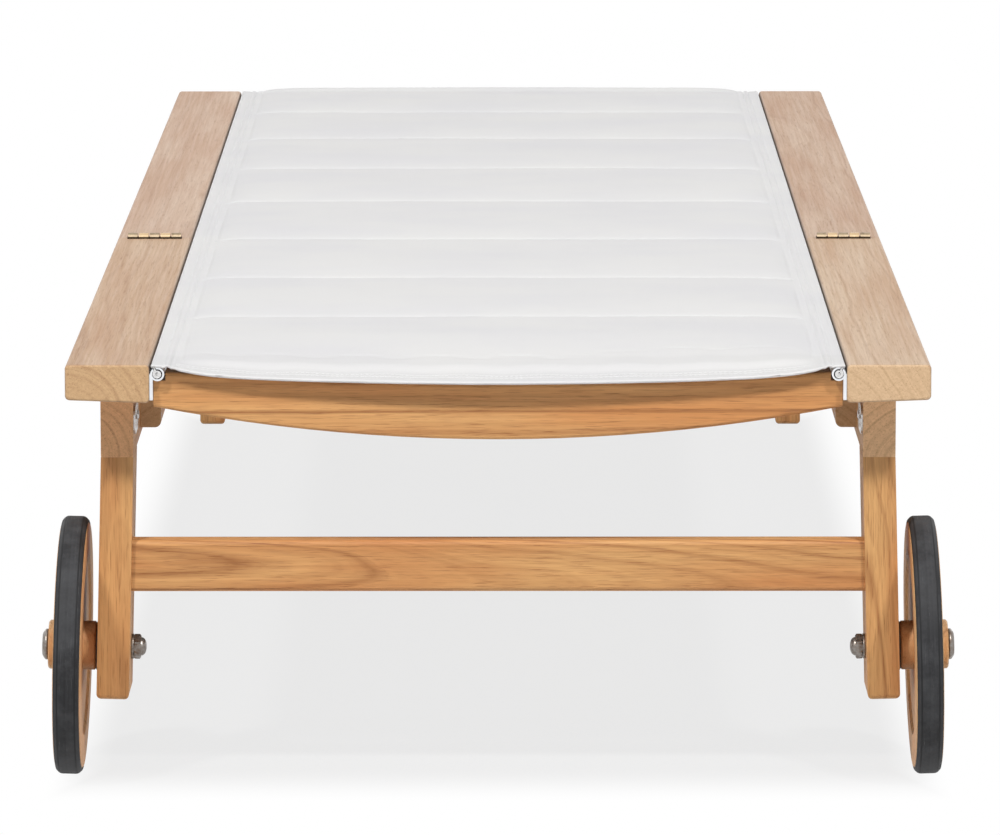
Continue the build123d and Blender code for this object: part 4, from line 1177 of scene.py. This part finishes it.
def dress_wood():
    for number, (node, (grain, shares, tones)) in enumerate(WOOD.items()):
        low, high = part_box(node)
        across = [i for i in range(3) if i != grain]
        pith = [(low[i] + high[i]) / 2 + (high[i] - low[i]) * share
                for i, share in zip(across, shares)]
        cut = RAIL_CUT if node.startswith(("back_rail", "seat_rail")) else ARCHED.get(node, {})
        material = teak("teak_" + node, grain, pith, low[grain], FIRST_SEED + SEED_STEP * number,
                        tones=tones, end_tones=END_TONES.get(node, TEAK_END), **cut)
        set_material(node, material)


METALS = {
    ALUMINIUM: ("back_sling_track_left", "back_sling_track_right", "seat_sling_track_left",
                "seat_sling_track_right"),
    BRIGHT_BRASS: ("hinge_back_leaves",),
    DULL_BRASS: ("hinge_seat_leaves", "hinge_back_screws", "hinge_seat_screws"),
    PIN_STEEL: ("hinge_pins",),
    STEEL: ("beam_plates", "prop_bar", "prop_bolts", "prop_brackets", "prop_bracket_screws"),
    NYLON: ("wheel_bush_left", "wheel_bush_right", "prop_washers"),
    DARK_PLASTIC: ("wheel_spacers",),
}

dress_wood()
for material, nodes in METALS.items():
    for node in nodes:
        set_material(node, material)


# Stage, lamps and camera


def white_world():
    """Plain white to the eye, and faint as a light."""
    world = bpy.data.worlds.new("studio")
    bpy.context.scene.world = world
    world.use_nodes = True
    tree = world.node_tree
    tree.nodes.clear()
    link = tree.links.new
    path = tree.nodes.new("ShaderNodeLightPath").outputs
    seen = path["Is Camera Ray"]
    for ray in ("Is Glossy Ray", "Is Transmission Ray"):
        either = tree.nodes.new("ShaderNodeMath")
        either.operation = "MAXIMUM"
        link(seen, either.inputs[0])
        link(path[ray], either.inputs[1])
        seen = either.outputs[0]
    mix = tree.nodes.new("ShaderNodeMixShader")
    link(seen, mix.inputs[0])
    for place, strength in ((1, SKY_STRENGTH), (2, 1.0)):
        sky = tree.nodes.new("ShaderNodeBackground")
        sky.inputs["Color"].default_value = (1, 1, 1, 1)
        sky.inputs["Strength"].default_value = strength
        link(sky.outputs[0], mix.inputs[place])
    out = tree.nodes.new("ShaderNodeOutputWorld")
    link(mix.outputs[0], out.inputs["Surface"])


def floor_material():
    """Matt floor that keeps the lounger's shadow, with a painted shadow under the lounger, and
    turns to plain white away from it.
    """
    g = Graph("studio_floor")
    x, y, _ = g.split(g.place)
    # Painted shadow: grey inside a soft-edged rectangle under the lounger, plain white outside it
    across = g.between(g.absolute(x), *FLOOR_SHADE_ACROSS, kind="SMOOTHSTEP")
    along = g.between(g.absolute(y), *FLOOR_SHADE_ALONG, kind="SMOOTHSTEP")
    away = g.math("MAXIMUM", across, along)
    speckle = g.noise(g.place, scale=3, detail=2)
    lit = g.add("ShaderNodeBsdfDiffuse", {"Color": (FLOOR_ALBEDO,) * 3 + (1,)})
    level = g.between(speckle, 0.0, 1.0, FLOOR_SEEN_ALBEDO, FLOOR_SEEN_ALBEDO * FLOOR_SPECKLE)
    shown = g.add("ShaderNodeBsdfDiffuse", {"Color": g.join(level, level, level)})
    glow = g.add("ShaderNodeEmission", {"Strength": FLOOR_GLOW})
    shaded = g.add("ShaderNodeAddShader", {0: shown.outputs[0], 1: glow.outputs[0]})
    white = g.add("ShaderNodeEmission", {"Strength": 1.0})
    faded = g.add("ShaderNodeMixShader", {0: away, 1: shaded.outputs[0], 2: white.outputs[0]})
    path = g.add("ShaderNodeLightPath").outputs
    seen = g.math("MAXIMUM", path["Is Camera Ray"], path["Is Glossy Ray"])
    seen = g.math("MAXIMUM", seen, path["Is Transmission Ray"])
    both = g.add("ShaderNodeMixShader", {0: seen, 1: lit.outputs[0], 2: faded.outputs[0]})
    g.feed(g.tree.nodes["Material Output"].inputs["Surface"], both.outputs[0])
    return g.material


def build_floor():
    shape = Shape()
    h = FLOOR_HALF
    shape.add([(-h, -h, 0), (h, -h, 0), (h, h, 0), (-h, h, 0)], [(0, 1, 2, 3)])
    floor = shape.piece("studio_floor", floor_material())


def area_lamp(name, place, size, power):
    lamp = bpy.data.lights.new(name, "AREA")
    lamp.shape = "RECTANGLE"
    lamp.size, lamp.size_y = size
    lamp.energy = power
    made = bpy.data.objects.new(name, lamp)
    made.location = place
    made.rotation_mode = "QUATERNION"
    made.rotation_quaternion = (-Vector(place)).to_track_quat("-Z", "Y")
    made.visible_camera = False
    bpy.context.scene.collection.objects.link(made)


def lamp_pair(name, turn, rise, power):
    """Two equal lamps, one on each side."""
    turn, rise = math.radians(turn), math.radians(rise)
    flat, up = LAMP_DISTANCE * math.cos(rise), LAMP_DISTANCE * math.sin(rise)
    for side, end in ((-1, "left"), (1, "right")):
        place = (side * flat * math.sin(turn), -flat * math.cos(turn), up)
        area_lamp(name + "_" + end, place, (LAMP_SIZE, LAMP_SIZE), power)


def build_lamps():
    for pair in LAMP_PAIRS:
        lamp_pair(*pair)
    area_lamp("top_lamp", (0, 0, TOP_LAMP_HEIGHT), TOP_LAMP_SIZE, TOP_LAMP_POWER)


def build_camera():
    ahead, aside = math.cos(CAMERA_YAW), math.sin(CAMERA_YAW)
    flat = math.cos(CAMERA_PITCH)
    forward = Vector((aside * flat, ahead * flat, -math.sin(CAMERA_PITCH)))
    level = Vector((ahead, -aside, 0))
    above = level.cross(forward)
    right = level * math.cos(CAMERA_ROLL) + above * math.sin(CAMERA_ROLL)
    up = above * math.cos(CAMERA_ROLL) - level * math.sin(CAMERA_ROLL)
    data = bpy.data.cameras.new("camera")
    data.lens, data.sensor_width = CAMERA_LENS, SENSOR_WIDTH
    data.clip_end = CAMERA_SIGHT
    camera = bpy.data.objects.new("camera", data)
    turn = Matrix((right, up, -forward)).transposed().to_4x4()
    camera.matrix_world = Matrix.Translation(CAMERA_PLACE) @ turn
    bpy.context.scene.collection.objects.link(camera)
    bpy.context.scene.camera = camera


white_world()
build_floor()
build_lamps()
build_camera()
bpy.context.scene.view_settings.view_transform = "Standard"
